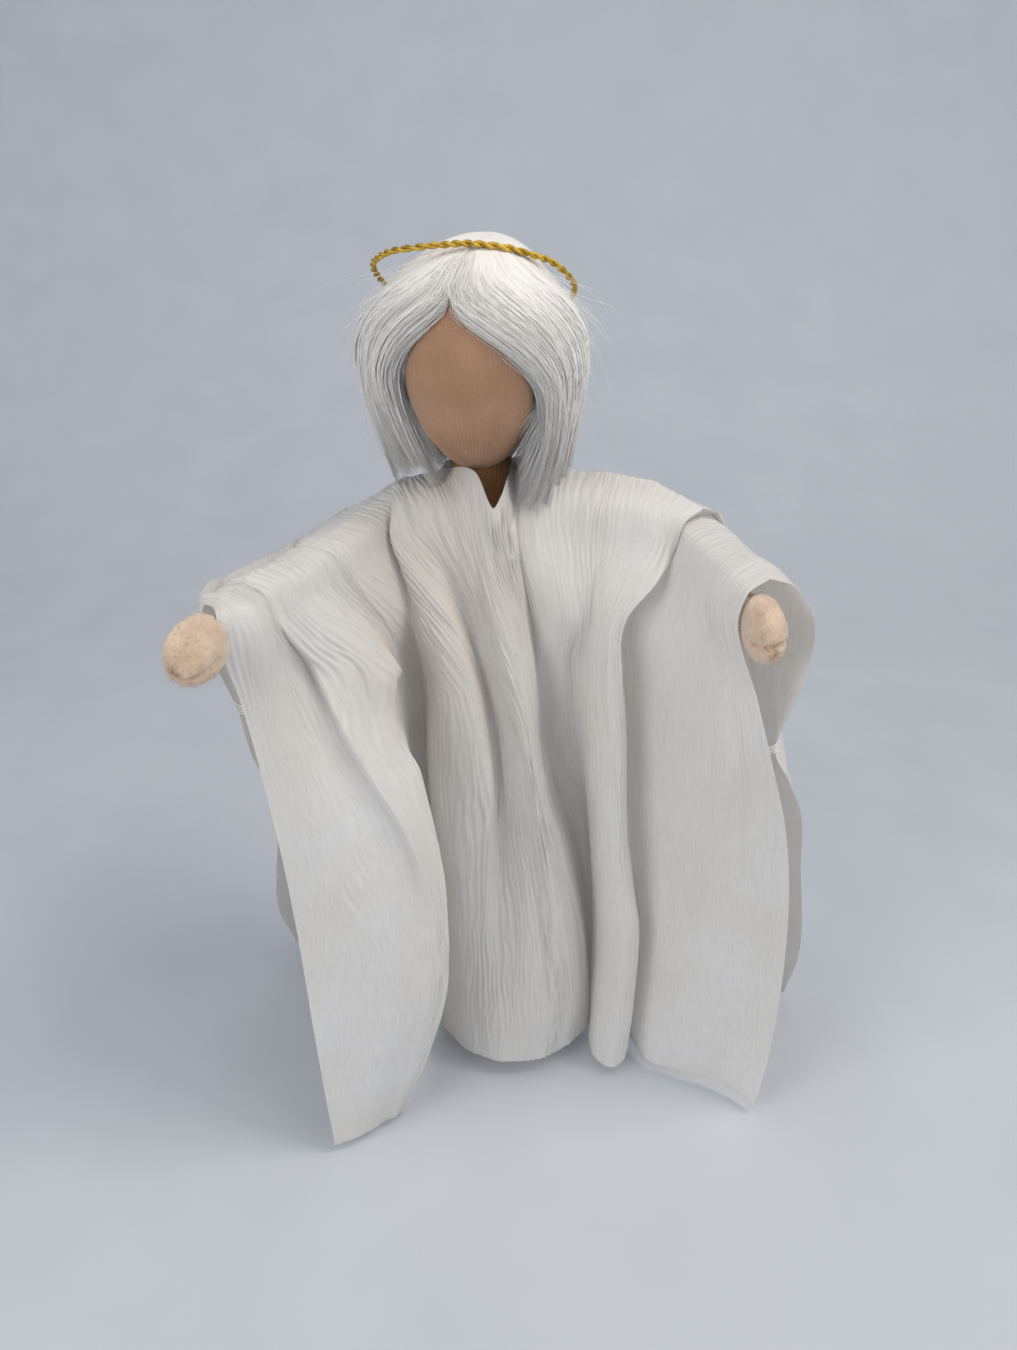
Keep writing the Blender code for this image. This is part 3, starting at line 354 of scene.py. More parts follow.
def plain_material(name, dark, light, roughness, metallic=0.0, grain=1.2, strength=0.3):
    """A grainy material for the hidden frame: steel, lead, sole felt, foam, thread."""
    m = Nodes(name)
    spot = m.texture(m.position(), grain, 4.0, 0.65)
    m.set(Base_Color=m.ramp(spot, [(0.35, dark), (0.65, light)]), Roughness=roughness, Metallic=metallic,
          Normal=m.bump(spot, strength, 0.0003))
    return m.mat


SILK = silk_material()
SKIN = knit_material("skin_knit", (0.36, 0.20, 0.115), (0.46, 0.272, 0.168), 0.5)
# Painted shade: the neck's brown knit is coloured darker than the face's knit for the shade under the chin
SHADED_NECK_KNIT = knit_material("neck_knit", (0.19, 0.09, 0.033), (0.31, 0.155, 0.066), 0.6)
HAND = felt_material("hand_felt", (0.58, 0.41, 0.28), (0.76, 0.58, 0.43))
SOLE = felt_material("sole_felt", (0.07, 0.045, 0.028), (0.13, 0.085, 0.055))
WIG = fibre_material()
GOLD = gold_material()
SISAL = plain_material("sisal_padding", (0.33, 0.23, 0.11), (0.52, 0.40, 0.22), 0.95, 0.0, 0.8, 0.6)
STEEL = plain_material("steel_wire", (0.32, 0.32, 0.33), (0.46, 0.46, 0.47), 0.4, 1.0)
LEAD = plain_material("foot_lead", (0.12, 0.125, 0.135), (0.2, 0.21, 0.22), 0.6, 1.0)
FOAM = plain_material("head_foam", (0.76, 0.75, 0.72), (0.86, 0.85, 0.82), 0.9)
THREAD = plain_material("white_thread", (0.78, 0.76, 0.72), (0.9, 0.89, 0.86), 0.8)


# Robe: fold lines of the front sheet, from the figure's right cuff to its left cuff. Each has its place on
# the shoulder line (arm, share along it, lift in mm) and points (x, y, z) down to the hem.
FRONT_FOLDS = [
    (("right", 1.00, 0), [(-53.5, -73, 128), (-51.3, -73.2, 95), (-50, -73.8, 60), (-48.8, -74, 30),
        (-47.5, -74, 4)]),
    (("right", 0.94, 0), [(-52, -67, 163), (-47, -69.5, 130), (-44, -71.5, 95), (-42.5, -72.3, 60),
        (-41.8, -72, 30), (-41, -71, 4)]),
    (("right", 0.88, 0), [(-48, -60, 163), (-38, -66, 130), (-30, -69.3, 95), (-29, -70.3, 60),
        (-31.5, -69.5, 30), (-35.5, -67.6, 4)]),
    (("right", 0.85, 0), [(-45.4, -53.5, 170), (-38.6, -57.6, 155), (-30, -61.3, 138),
        (-22.8, -63, 124), (-18, -63.8, 108), (-17, -64.5, 93), (-18, -66, 60), (-24, -64.8, 30),
        (-32, -64.6, 4)]),
    (("right", 0.835, 1.6), [(-42.6, -56.3, 170), (-35.8, -60.6, 155), (-27.3, -64.3, 138),
        (-20.4, -65.2, 124), (-15.8, -65, 108), (-14.8, -64.6, 93), (-15.7, -65.6, 60),
        (-22, -64.3, 30), (-30.3, -64, 4)]),
    (("right", 0.72, 2.0), [(-33.5, -50.5, 166), (-30, -54, 152), (-22.5, -59.5, 137),
        (-17, -61.5, 124), (-13.5, -62, 108), (-12.2, -61.8, 93), (-13, -63.3, 60), (-19.3, -62.5, 30),
        (-28, -62.4, 4)]),
    (("right", 0.60, 0.4), [(-22.5, -40, 161), (-24, -42, 151), (-22, -46, 140.5), (-17, -50, 132),
        (-14.4, -53, 121), (-12, -55, 110), (-9.8, -57.5, 94), (-10.5, -60, 62), (-16.5, -60, 31),
        (-25.5, -60.5, 4)]),
    (("right", 0.52, 0), [(-26, -32.5, 164), (-27, -34, 151), (-25, -37, 140), (-20.5, -40, 131),
        (-17.5, -43, 121), (-15, -45.5, 110), (-13, -47.5, 95), (-13, -50, 62), (-17.5, -50.5, 31),
        (-24, -51, 4)]),
    (("right", 0.40, 0), [(-25.5, -26.5, 166), (-23.5, -22, 150), (-22.5, -21, 130), (-21, -22, 96),
        (-19.5, -24, 60), (-20.5, -26, 30), (-21.5, -28, 5)]),
    (("right", 0.26, 0), [(-21.5, -22.5, 168), (-19, -16.5, 150), (-18.5, -14, 130), (-18, -13.5, 96),
        (-17.5, -16, 60), (-17.5, -19.5, 30), (-18, -23, 6)]),
    (("right", 0.12, 0), [(-18, -25, 166), (-14.5, -27.5, 148), (-15.5, -29, 122), (-15, -29.8, 107),
        (-14.3, -30, 96), (-14, -29, 60), (-13.6, -28, 30), (-13.4, -28.5, 7)]),
    (("shoulder", -0.88, 0), [(-11.8, -29.5, 163), (-8.5, -33.5, 140), (-8, -35, 122),
        (-7.8, -37.3, 96), (-7.2, -38.5, 60), (-6.8, -39, 30), (-6.5, -38.5, 8)]),
    (("shoulder", -0.64, 0), [(-5.3, -29, 163), (-1, -32.5, 147), (1.5, -34.5, 130), (2.6, -36, 118),
        (1.9, -38.3, 93), (0.5, -41, 60), (0.5, -42.5, 30), (0.5, -42, 8)]),
    (("shoulder", -0.42, 0), [(-3, -23.5, 163), (1.6, -25.5, 147), (4.4, -27, 130), (5.4, -29, 118),
        (6, -34, 93), (6, -40.5, 60), (7, -43.5, 30), (7.5, -43.5, 8)]),
    (("neckline", -0.9, 0), [(1.4, -26.5, 163), (5.6, -29.5, 147), (10.2, -32.5, 131),
        (11.6, -34.5, 118), (15, -38.8, 93), (19, -43.5, 60), (21, -44, 30), (21, -42, 8)]),
    (("neckline", -0.1, 0), [(8, -30, 163), (11.5, -33.3, 147), (14.5, -36, 130), (17, -38, 116),
        (21.3, -40.6, 94), (27, -42.3, 58), (30.3, -39.8, 29), (30.3, -36, 8)]),
    (("neckline", 0.35, 0), [(14.8, -27, 159), (16.6, -29, 146), (17.9, -31, 126.5), (21.5, -33.5, 108),
        (26.3, -35, 92.5), (30.3, -34.5, 74), (34, -33, 51.5), (36.5, -30.5, 27), (37.6, -28, 9)]),
    (("neckline", 0.75, 0), [(15.8, -21, 160), (17.6, -22.5, 146), (19, -23.5, 127), (22.8, -25.5, 108),
        (27.8, -26.5, 92), (32, -25.5, 74), (35.5, -23, 51), (37.6, -19.5, 27), (38.2, -16.5, 9)]),
    (("shoulder", 0.42, 0), [(18.8, -22.5, 164), (19.5, -20.5, 146), (21, -19.3, 127), (25, -19, 108),
        (29.5, -18.8, 92), (33.5, -17, 74), (36.5, -14.5, 51), (38, -11.5, 27), (38.6, -9, 9)]),
    (("shoulder", 0.72, 2), [(24.2, -25.5, 170), (24, -22.5, 150), (26, -20, 127), (29.5, -19, 108),
        (33, -18.3, 92), (36.5, -16.5, 74), (39, -14, 51), (40.3, -11.5, 27), (40.8, -9, 8.5)]),
    (("left", 0.04, 7.5), [(29.5, -26, 170), (29, -22.5, 152), (30.3, -19.8, 128), (33.3, -18.7, 108),
        (36, -18, 94), (40.3, -16, 58), (42.3, -13, 29), (43, -10.5, 8)]),
    (("left", 0.13, 8.0), [(32, -27, 170), (31.3, -24.3, 152), (32.3, -24, 130), (35.2, -25.5, 94),
        (38, -25, 58), (38, -24, 29), (38.4, -23, 6)]),
    (("left", 0.21, 7.5), [(34, -29.5, 169), (33.2, -31.5, 150), (34.2, -34.5, 131), (37.5, -38, 94),
        (40.5, -39.5, 57), (39.3, -39.3, 29), (38.8, -38.6, 6)]),
    (("left", 0.31, 6.5), [(38, -32.5, 171), (37.2, -36.5, 150), (38.8, -40, 131), (41.8, -43, 94),
        (46, -44.8, 57), (45.5, -44.6, 29), (44.5, -43.6, 5)]),
    (("left", 0.52, 3.2), [(50, -29, 181), (43, -32, 174), (40.8, -33.5, 166), (41.3, -36, 154),
        (43, -38, 137), (45.3, -40.5, 101), (48.3, -41, 82), (51, -41.5, 66), (51.5, -41.2, 48),
        (51, -40.5, 26), (50, -39.5, 6)]),
    (("left", 0.50, 0.4), [(47.5, -25.5, 181), (41, -26.5, 174), (40, -26.5, 166), (41, -27.5, 154),
        (43.3, -28.5, 137), (47, -29.5, 101), (51, -30.5, 66), (52, -30.3, 48), (52.2, -30, 26),
        (52.3, -29.5, 5)]),
    (("left", 0.57, 0.2), [(50, -29, 166), (51.5, -31.5, 148), (53.5, -34.5, 130), (56, -37.5, 94),
        (57.5, -39.5, 56), (58, -40, 29), (58.3, -40, 4)]),
    (("left", 0.66, 1.0), [(57.5, -37, 162), (60, -41, 130), (62.8, -43.5, 94), (64.5, -44.3, 56),
        (65, -44, 29), (65, -43.2, 4)]),
    (("left", 0.77, 2.0), [(64, -45, 161), (68, -48.3, 130), (71.8, -49.6, 94), (74, -49.2, 56),
        (74.5, -48, 29), (74.5, -47, 4)]),
    (("left", 0.89, 2.5), [(70, -53, 161), (76, -55, 130), (81.5, -55, 94), (84, -53.7, 56),
        (84, -52, 29), (83.3, -51.2, 4)]),
    (("left", 1.00, 2.5), [(88, -58, 118), (92.5, -58, 90), (94.5, -58, 56), (94, -58.5, 29),
        (92, -59, 4)]),
]
LINES = len(FRONT_FOLDS)
LAST = LINES - 1
# Between these fold lines the neck is open
NECK_FROM = 13
NECK_TO = 18
# The back sheet: its hem as (x, y), and its free edges from the cuffs down to the hem
BACK_HEM = [
    (-77, 18), (-75, 20), (-73, 21.5), (-71, 23), (-68.5, 25), (-66, 27), (-62.5, 28.5), (-58, 30),
    (-51, 33), (-41, 38), (-31, 38), (-20, 36), (-8, 41), (4, 42), (15, 38), (26, 39), (37, 43),
    (47, 41), (57, 37), (68, 35), (79, 32), (90, 25), (100, 14), (108, 2), (113, -10),
]
BACK_HEM_Z = 6.5
BACK_EDGE = {
    "right": [(-59.5, -64, 146), (-57.5, -57, 131), (-60, -46, 110), (-67, -30, 81), (-74, -10, 51),
              (-77.4, 5, 30), (-77, 18, 6.5)],
    "left": [(88.4, -52, 131), (95.5, -46, 115), (101.5, -38, 88), (109, -28, 56), (113, -18, 30),
             (113, -10, 6.5)],
}
# The free edges below a cuff, from the cuff's end
CUFF_EDGE = {
    "right": {"front": [(4.6, -2.8, -20.2)], "back": [(-4.4, 4.7, -5.2), (2.8, -1.5, -20.2)]},
    "left": {"front": [(-2.3, -8.4, -17.2), (3.9, -6.9, -36.2)],
             "back": [(14.9, 4.1, -5.2), (12.4, 0.6, -21.2), (5.9, -5.5, -36.2)]},
}
# The right cuff: how its back corner is drawn in, and how far its top drops
CUFF_CORNER = (4.0, 0.0, -0.5)
CUFF_DROP = 1.6
# How far the front of a cuff closes towards its hand: at the bend of the cloth and beside the arm
CUFF_CLOSES = {
    "right": [(-5.5, -0.6, 0.0), (-8.3, -0.2, 0.0)],
    "left": [(2.1, 0.0, 0.0), (3.8, 0.0, 0.0)],
}
# How the cloth lies over arms, shoulders and neck, in mm or as shares; -1 is the figure's right
ARM_ROUND = 6.0
ARM_SIDE = 1.12
ARM_SPAN = 0.12
SWELL = 0.12
SWELLS_TO = 0.45
PALM_HEIGHT = 16.0
TORSO_DEPTH = 28.0
EASE = 2.2
SHOULDER_RISE = {-1: 1.5, 1: 5.5}
NECK_RISE = 9.5
BELOW_SHOULDER = 2.0
CUFF_PAST_WRIST = {"left": 6.0, "right": 2.5}
CLOTH_LIFT = 0.6
COLLAR_ROUND = 10.6
COLLAR_HIGH = 7.5
SLIT_FOOT = np.array([5.0, -21.0, NECK_MM + 0.6])
SLIT_RISE = {-1: np.array([-6.6, 10.0, 10.4]), 1: np.array([4.6, 10.0, 10.3])}
# How finely the sheets are modelled, and the height and inside of their hem
COLUMN_STEP = 0.38
FRONT_ROWS = 220
BACK_ROWS = 110
HEM = 3.0
HEM_INSIDE = 0.75
HEM_ROWS = 3

SIDES = ("left", "right")
ARM_JOINTS = ("shoulder_%s_swing", "elbow_%s_swing", "wrist_%s_lift")


def hand_way(name):
    """Which way a hand points, from its CAD wire."""
    low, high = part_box("hand_" + name + "_wire")
    middle = (np.array(low) + np.array(high)) / 2
    return unit(middle - JOINT["wrist_%s_lift" % name])


# Shoulder, elbow, wrist and cuff of each arm
ARM = {}
for arm_name in SIDES:
    points = [own(JOINT[joint % arm_name]) for joint in ARM_JOINTS]
    ARM[arm_name] = points + [points[-1] + CUFF_PAST_WRIST[arm_name] * hand_way(arm_name)]


def along_arm(name, share):
    """The point at a share of the way from shoulder to cuff."""
    points = ARM[name]
    lengths = [np.linalg.norm(b - a) for a, b in zip(points, points[1:])]
    rest = min(max(share, 0.0), 1.0) * sum(lengths)
    for a, b, length in zip(points, points[1:], lengths):
        if rest <= length + 1e-9:
            break
        rest -= length
    return a + unit(b - a) * rest


def over_arm(name, share, lift, turn):
    """From the top of the arm round to its front side (turn 1) or back side (turn -1)."""
    at = along_arm(name, share)
    way = along_arm(name, share + ARM_SPAN) - along_arm(name, share - ARM_SPAN)
    normal = unit([-way[1], way[0], 0.0])
    if normal[1] > 0:
        normal = -normal
    wide = max(ARM_ROUND, share * 0.5 * PALM_HEIGHT)
    up = np.array([0, 0, wide + CLOTH_LIFT])
    swell = SWELL * lift if turn > 0 and share < SWELLS_TO and name == "left" else 0.0
    side = normal * turn * (ARM_SIDE + swell) * (wide + EASE)
    raised = np.array([0, 0, lift])
    points = [
        at + up + raised,
        at + (up + side) * math.sqrt(0.5) + 0.6 * raised,
        at + side - np.array([0, 0, BELOW_SHOULDER]),
    ]
    at_cuff = share == 1.0
    if at_cuff and name == "right":
        points[0] -= np.array([0, 0, CUFF_DROP])
    if at_cuff and name == "right" and turn < 0:
        points[1] += np.array(CUFF_CORNER)
    if at_cuff and turn > 0:
        for point, shift in zip(points[1:], CUFF_CLOSES[name]):
            point += np.array(shift)
    if turn < 0:
        points[2][1] = max(points[2][1], (0.5 * TORSO_DEPTH + 2.5) * (1 - share / 0.3))
    return points


def over_breast(share, lift, turn):
    """From the top of the shoulder down to the breast (turn 1) or the back (turn -1)."""
    x = share * HALF_MM
    rise = SHOULDER_RISE[1 if share > 0 else -1] + NECK_RISE * (1 - abs(share)) + lift
    depth = 0.5 * TORSO_DEPTH + 1.8 + 2 * (1 - abs(share))
    high = SHOULDER_MM + ARM_ROUND
    return [
        np.array((x, 3.0, high + rise)),
        np.array((x, -turn * 0.62 * depth, high + 0.4 * rise)),
        np.array((x, -turn * depth, SHOULDER_MM - BELOW_SHOULDER)),
    ]


def over_collar(share, turn):
    """The neckline: a slit that opens upwards in front, a round collar behind."""
    depth = 0.5 * TORSO_DEPTH
    low = SHOULDER_MM - BELOW_SHOULDER
    if turn < 0:
        x = share * COLLAR_ROUND
        top = (x, COLLAR_ROUND * math.sqrt(1 - 0.6 * share ** 2), NECK_MM + COLLAR_HIGH)
        bend = (1.05 * x, depth, SHOULDER_MM + ARM_ROUND)
        return [np.array(top), np.array(bend), np.array((1.1 * x, depth + 3, low))]
    top = SLIT_FOOT + SLIT_RISE[1 if share > 0 else -1] * abs(share)
    return [top, np.array((SLIT_FOOT[0] + 8 * share, -depth - 5.5 - 3 * (1 - abs(share)), low))]


def hang_points(where, turn):
    """The upper end of a fold line, from its place on the shoulder line."""
    place, share, lift = where
    if place == "shoulder":
        return over_breast(share, lift, turn)
    if place == "neckline":
        return over_collar(share, turn)
    return over_arm(place, share, lift, turn)


def edge_of(index):
    """The arm at whose cuff a fold line lies, for the two free edges of the cloth."""
    return {0: "right", LAST: "left"}.get(index)


def cuff_edge(index, sheet):
    """Points of a free edge just below its cuff."""
    name = edge_of(index)
    return [ARM[name][-1] + np.array(offset) for offset in CUFF_EDGE[name][sheet]] if name else []


def front_line(index):
    where, points = FRONT_FOLDS[index]
    return np.array(hang_points(where, 1) + cuff_edge(index, "front") + [np.array(p, float) for p in points])


def back_line(index):
    top = hang_points(FRONT_FOLDS[index][0], -1)
    name = edge_of(index)
    if name:
        return np.array(top[:2] + cuff_edge(index, "back") + [np.array(p, float) for p in BACK_EDGE[name]])
    hem = np.append(spline(np.array(BACK_HEM, float), [index / LAST])[0], BACK_HEM_Z)
    return np.array(top + [top[-1] + (hem - top[-1]) * share for share in (0.25, 0.5, 0.75, 1.0)])


def chord_lengths(points):
    """Distance from the first point to each, along the points."""
    steps = np.maximum(np.linalg.norm(np.diff(points, axis=0), axis=1), 1e-6)
    return np.concatenate([[0], np.cumsum(steps)])


def mean_lengths(grid, axis):
    """Mean distance down a grid (axis 0) or across it (axis 1), from its edge."""
    steps = np.linalg.norm(np.diff(grid, axis=axis), axis=2).mean(1 - axis)
    return np.concatenate([[0], np.cumsum(steps)])


def spline(points, shares):
    """A smooth curve through points, read at shares of its chord length."""
    chord = chord_lengths(points)
    last = len(points) - 1
    low = np.maximum(np.arange(last + 1) - 1, 0)
    high = np.minimum(np.arange(last + 1) + 1, last)
    slopes = (points[high] - points[low]) / (chord[high] - chord[low])[:, None]
    at = np.asarray(shares) * chord[-1]
    k = np.clip(np.searchsorted(chord, at, side="right") - 1, 0, last - 1)
    span = (chord[k + 1] - chord[k])[:, None]
    u = (at[:, None] - chord[k][:, None]) / span
    h1, h2 = 2 * u ** 3 - 3 * u ** 2 + 1, u ** 3 - 2 * u ** 2 + u
    h3, h4 = -2 * u ** 3 + 3 * u ** 2, u ** 3 - u ** 2
    return points[k] * h1 + slopes[k] * span * h2 + points[k + 1] * h3 + slopes[k + 1] * span * h4


def across(lines, at):
    """Smooth curves across the fold lines, at line numbers with fractions."""
    grid = []
    k = np.clip(np.floor(at).astype(int), 0, LAST - 1)
    for row in np.swapaxes(lines, 0, 1):
        chord = chord_lengths(row)
        shares = (chord[k] + (chord[k + 1] - chord[k]) * (at - k)) / chord[-1]
        grid.append(spline(row, shares))
    return np.array(grid)


def row_shares(rows):
    """Rows lie closer together near the shoulder line."""
    even = np.linspace(0, 1, rows)
    return 0.35 * even + 0.65 * even ** 1.4


def sheet_grids():
    """Front and back as grids of points in mm: rows from shoulder line to hem, columns across."""
    front = np.array([spline(front_line(i), row_shares(FRONT_ROWS)) for i in range(LINES)])
    back = np.array([spline(back_line(i), row_shares(BACK_ROWS)) for i in range(LINES)])
    widest = np.linalg.norm(np.diff(front, axis=0), axis=2).max(1)
    counts = np.ceil(widest / COLUMN_STEP).astype(int)
    at = np.concatenate([k + np.arange(n) / n for k, n in enumerate(counts)] + [[LAST]])
    return across(front, at), across(back, at), at


def grid_normals(grid):
    down, side = np.gradient(grid, axis=0), np.gradient(grid, axis=1)
    return unit(np.cross(down, side))


# How strongly the cloth is crinkled at each fold line
CRINKLED = [
    0.4, 0.4, 0.45, 0.55, 1.0, 1.2, 1.1, 0.8, 0.7, 0.7, 0.8, 0.9, 1.0, 0.9, 1.0, 1.2, 1.0, 0.7, 0.5, 0.4,
    0.4, 0.45, 0.55, 0.6, 0.55, 0.5, 0.45, 0.5, 0.5, 0.45, 0.4,
]
# How far the crinkles run to the figure's left for each mm down: fold line and slant
SLANT = {3: 0.0, 9: 0.3, 10: 0.4, 11: 0.45, 14: 0.45, 15: 0.35, 16: 0.15, 17: 0.0}
# How far down they slant, and how far apart they lie, in mm
SLANT_TO = 70.0
CRINKLE_APART = 1.75


def crinkle(u, v, strong, slant):
    """Height of the cloth's crinkles in mm; u across and v down the cloth, in mm."""
    u = u - slant * np.minimum(np.abs(v), SLANT_TO)
    drift = 1.1 * noise(u / 7, v / 30, 1) + 0.4 * noise(u / 3, v / 14, 2)
    waves = np.cos(2 * math.pi * (u / CRINKLE_APART + 0.8 * drift + 0.5 * noise(u / 2.5, v / 9, 7)))
    ridges = 1.0 - 2.0 * np.abs(noise(u / 1.8 + drift, v / 22, 3))
    small = 1.0 - 2.0 * np.abs(noise(u / 1.15 + 1.5 * drift, v / 8, 4))
    wide = noise(u / 6 + 0.7 * drift, v / 50, 5)
    patchy = 0.75 + 0.45 * noise(u / 13, v / 35, 6)
    return strong * patchy * (0.24 * waves + 0.28 * ridges + 0.15 * small) + 0.4 * wide


def hem_fold(grid, outward):
    """The sheet with its lower edge folded in: a firm edge and a strip going up inside."""
    lengths = np.linalg.norm(np.diff(grid, axis=0), axis=2)
    height = np.cumsum(lengths[::-1], axis=0)[::-1]
    height = np.concatenate([height, np.zeros((1, grid.shape[1]))])
    band = step(HEM + 0.5, HEM - 0.3, height)
    groove = np.exp(-((height - HEM) / 0.45) ** 2)
    grid = grid + outward * (0.12 * band - 0.08 * groove)[..., None]
    inside = grid[-1] - HEM_INSIDE * outward[-1]
    up = np.argmin(np.abs(height - HEM), axis=0)
    column = np.arange(grid.shape[1])
    strip = grid[up, column] - HEM_INSIDE * outward[up, column]
    down = unit(grid[-1] - grid[-2])
    return np.concatenate([grid, [grid[-1] + 0.2 * down - 0.35 * outward[-1]], [inside], [strip]])


def crease(grid, outward, route, depth, width, lift):
    """Presses a line into the front sheet along a route of (x, z), and lifts the cloth beside it."""
    route = np.array(route, float)
    flat = grid[..., [0, 2]]
    best = np.full(grid.shape[:2], 1e9)
    side = np.zeros(grid.shape[:2])
    for a, b in zip(route, route[1:]):
        t = np.clip(((flat - a) @ (b - a)) / ((b - a) @ (b - a)), 0, 1)
        gap = flat - a - t[..., None] * (b - a)
        far = np.linalg.norm(gap, axis=2)
        nearer = far < best
        best = np.where(nearer, far, best)
        side = np.where(nearer, np.sign(gap[..., 0] * -(b - a)[1] + gap[..., 1] * (b - a)[0]), side)
    faces_front = step(0.0, 0.3, -outward[..., 1])
    press = -depth * np.exp(-(best / width) ** 2) + lift * (side > 0) * np.exp(-(best / (5 * width)) ** 2)
    return grid + outward * (press * faces_front)[..., None]


# The line that the collar's facing presses into the cloth beside the slit
FACING_CREASE = [(19, 207.5), (12.5, 202), (9, 194), (9.8, 188)]
FACING_PRESS = {"depth": 0.5, "width": 0.8, "lift": 0.5}


def build_robe_sheets():
    """Front and back, each as points and cloth places in mm, and which columns lie on a shoulder."""
    front, back, at = sheet_grids()
    u = mean_lengths(front, 1)
    strong = np.interp(at, np.arange(LINES), CRINKLED)
    slant = np.interp(at, list(SLANT), list(SLANT.values()))
    shoulder = (at <= NECK_FROM) | (at >= NECK_TO)
    shared = (front[0] + back[0]) / 2
    sheets = []
    for grid, turn in ((front, 1.0), (back, -1.0)):
        v = mean_lengths(grid, 0)
        uu, vv = np.meshgrid(u, turn * v)
        outward = turn * grid_normals(grid)
        soft = 0.7 + 0.3 * step(150, 70, np.abs(vv))
        height = crinkle(uu, vv, strong[None] * soft, slant[None])
        height = height * np.where(shoulder[None], 1.0, step(0.0, 7.0, np.abs(vv)))
        grid = grid + outward * height[..., None]
        shared_height = crinkle(u, 0 * u, strong, slant)
        grid[0][shoulder] = (shared + np.array([0, 0, 1.0]) * shared_height[:, None])[shoulder]
        if turn > 0:
            grid = crease(grid, outward, FACING_CREASE, **FACING_PRESS)
        grid = hem_fold(grid, outward)
        uu = np.concatenate([uu, uu[-1:], uu[-1:], uu[-1:]])
        vv = np.concatenate([vv, vv[-1:] + 0.4 * turn, vv[-1:] + 1.0 * turn, vv[-1:] + (1.0 + HEM) * turn])
        sheets.append((grid, np.stack([uu, vv], -1)))
    return sheets, shoulder


def vertex_normals(points, quads):
    face = np.cross(points[quads[:, 2]] - points[quads[:, 0]], points[quads[:, 3]] - points[quads[:, 1]])
    total = np.zeros_like(points)
    for corner in range(4):
        np.add.at(total, quads[:, corner], face)
    return unit(total)


# How the cloth follows an arm: distance along it in mm where it begins and where it fully follows, how much
# less it follows lower down, and how far the forearm's direction is turned towards the upper arm's.
# Past the elbow's beginning the cloth already follows the upper arm fully, or it would tear there.
FOLLOWS = {
    "left": {"shoulder": (8.0, 30.0, 0.12, 0.0), "elbow": (4.5, 31.0, 0.30, 0.7)},
    "right": {"shoulder": (9.0, 32.0, 0.12, 0.0), "elbow": (3.0, 28.0, 0.30, 0.0)},
}


def level_way(start, end):
    """The level direction from one point to another."""
    return unit((end - start) * np.array([1, 1, 0]))


def follow_way(name, part):
    """Joint, direction (longer than 1), and the distances along it where following begins and is full."""
    first = {"shoulder": 0, "elbow": 1}[part]
    joint, ahead = ARM[name][first], ARM[name][first + 1]
    begin, end, slack, turned = FOLLOWS[name][part]
    level = unit(level_way(joint, ahead) + turned * level_way(ARM[name][0], ARM[name][1]))
    return joint, level + np.array([0, 0, slack]), begin, end


def follows(points, name, part):
    """True for points past the place where the cloth begins to follow this part of the arm."""
    joint, way, begin, _ = follow_way(name, part)
    return (points - joint) @ way > begin


def cloth_piece(name, cloth, chosen):
    """One piece of the robe, with the whole robe's normals so that no seam shows."""
    points, quads, normals, uvs = cloth
    used, faces = np.unique(quads[chosen], return_inverse=True)
    piece = new_mesh(name, world(points[used]), faces.reshape(-1, 4), SILK)
    add_uv(piece, "cloth", uvs[used])
    piece.data.normals_split_custom_set_from_vertices(normals[used].tolist())
    return piece


def hem_marks(grid):
    """True for the points of a sheet's turned-in hem."""
    rows, columns = grid.shape[:2]
    return np.repeat(np.arange(rows) >= rows - HEM_ROWS, columns)


def build_robe():
    """The whole robe as one cloth, cut into pieces by the torso, the upper arms and the forearms; only the
    middle pieces are attached, to the torso.
    """
    sheets, shoulder = build_robe_sheets()
    (front, front_uv), (back, back_uv) = sheets
    columns = front.shape[1]
    behind = np.arange(back.shape[0] * columns).reshape(-1, columns) + front.shape[0] * columns
    behind[0, shoulder] = np.arange(columns)[shoulder]
    quads_front = grid_faces(front.shape[0], columns, closed=False)
    a, b, c, d = behind[:-1, :-1], behind[1:, :-1], behind[1:, 1:], behind[:-1, 1:]
    quads_back = np.stack([a.ravel(), d.ravel(), c.ravel(), b.ravel()], 1)
    points = np.concatenate([front.reshape(-1, 3), back.reshape(-1, 3)])
    uvs = np.concatenate([front_uv.reshape(-1, 2), back_uv.reshape(-1, 2)])
    quads = np.concatenate([quads_front, quads_back])
    turned_in = np.concatenate([hem_marks(front), hem_marks(back)])
    hangs = ~turned_in[quads].any(1)
    hem_normals = vertex_normals(points, quads[~hangs])
    normals = np.where(turned_in[:, None], hem_normals, vertex_normals(points, quads[hangs]))
    cloth = (points, quads, normals, uvs)
    is_front = np.arange(len(quads)) < len(quads_front)
    sheet_faces = {"front": is_front, "back": ~is_front}
    body = np.ones(len(quads), bool)
    for name in SIDES:
        moved = follows(points, name, "shoulder")[quads].any(1) & body
        outer = follows(points, name, "elbow")[quads].any(1) & moved
        body &= ~moved
        for sheet, faces in sheet_faces.items():
            piece = cloth_piece("robe_%s_%s" % (sheet, name), cloth, moved & ~outer & faces)
            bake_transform(piece)
            piece = cloth_piece("sleeve_%s_%s" % (sheet, name), cloth, outer & faces)
            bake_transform(piece)
            if sheet == "front":
                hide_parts("sleeve_" + name)
    for sheet, faces in sheet_faces.items():
        piece = cloth_piece("robe_%s_middle" % sheet, cloth, body & faces)
        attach(piece, "torso")
        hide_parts("robe_" + sheet)
    build_collar(front, back, shoulder)


# How far down inside the collar's facing reaches in mm, and in how many rows that place is looked for
FACING_DEPTH = 3.5
FACING_ROWS = 60


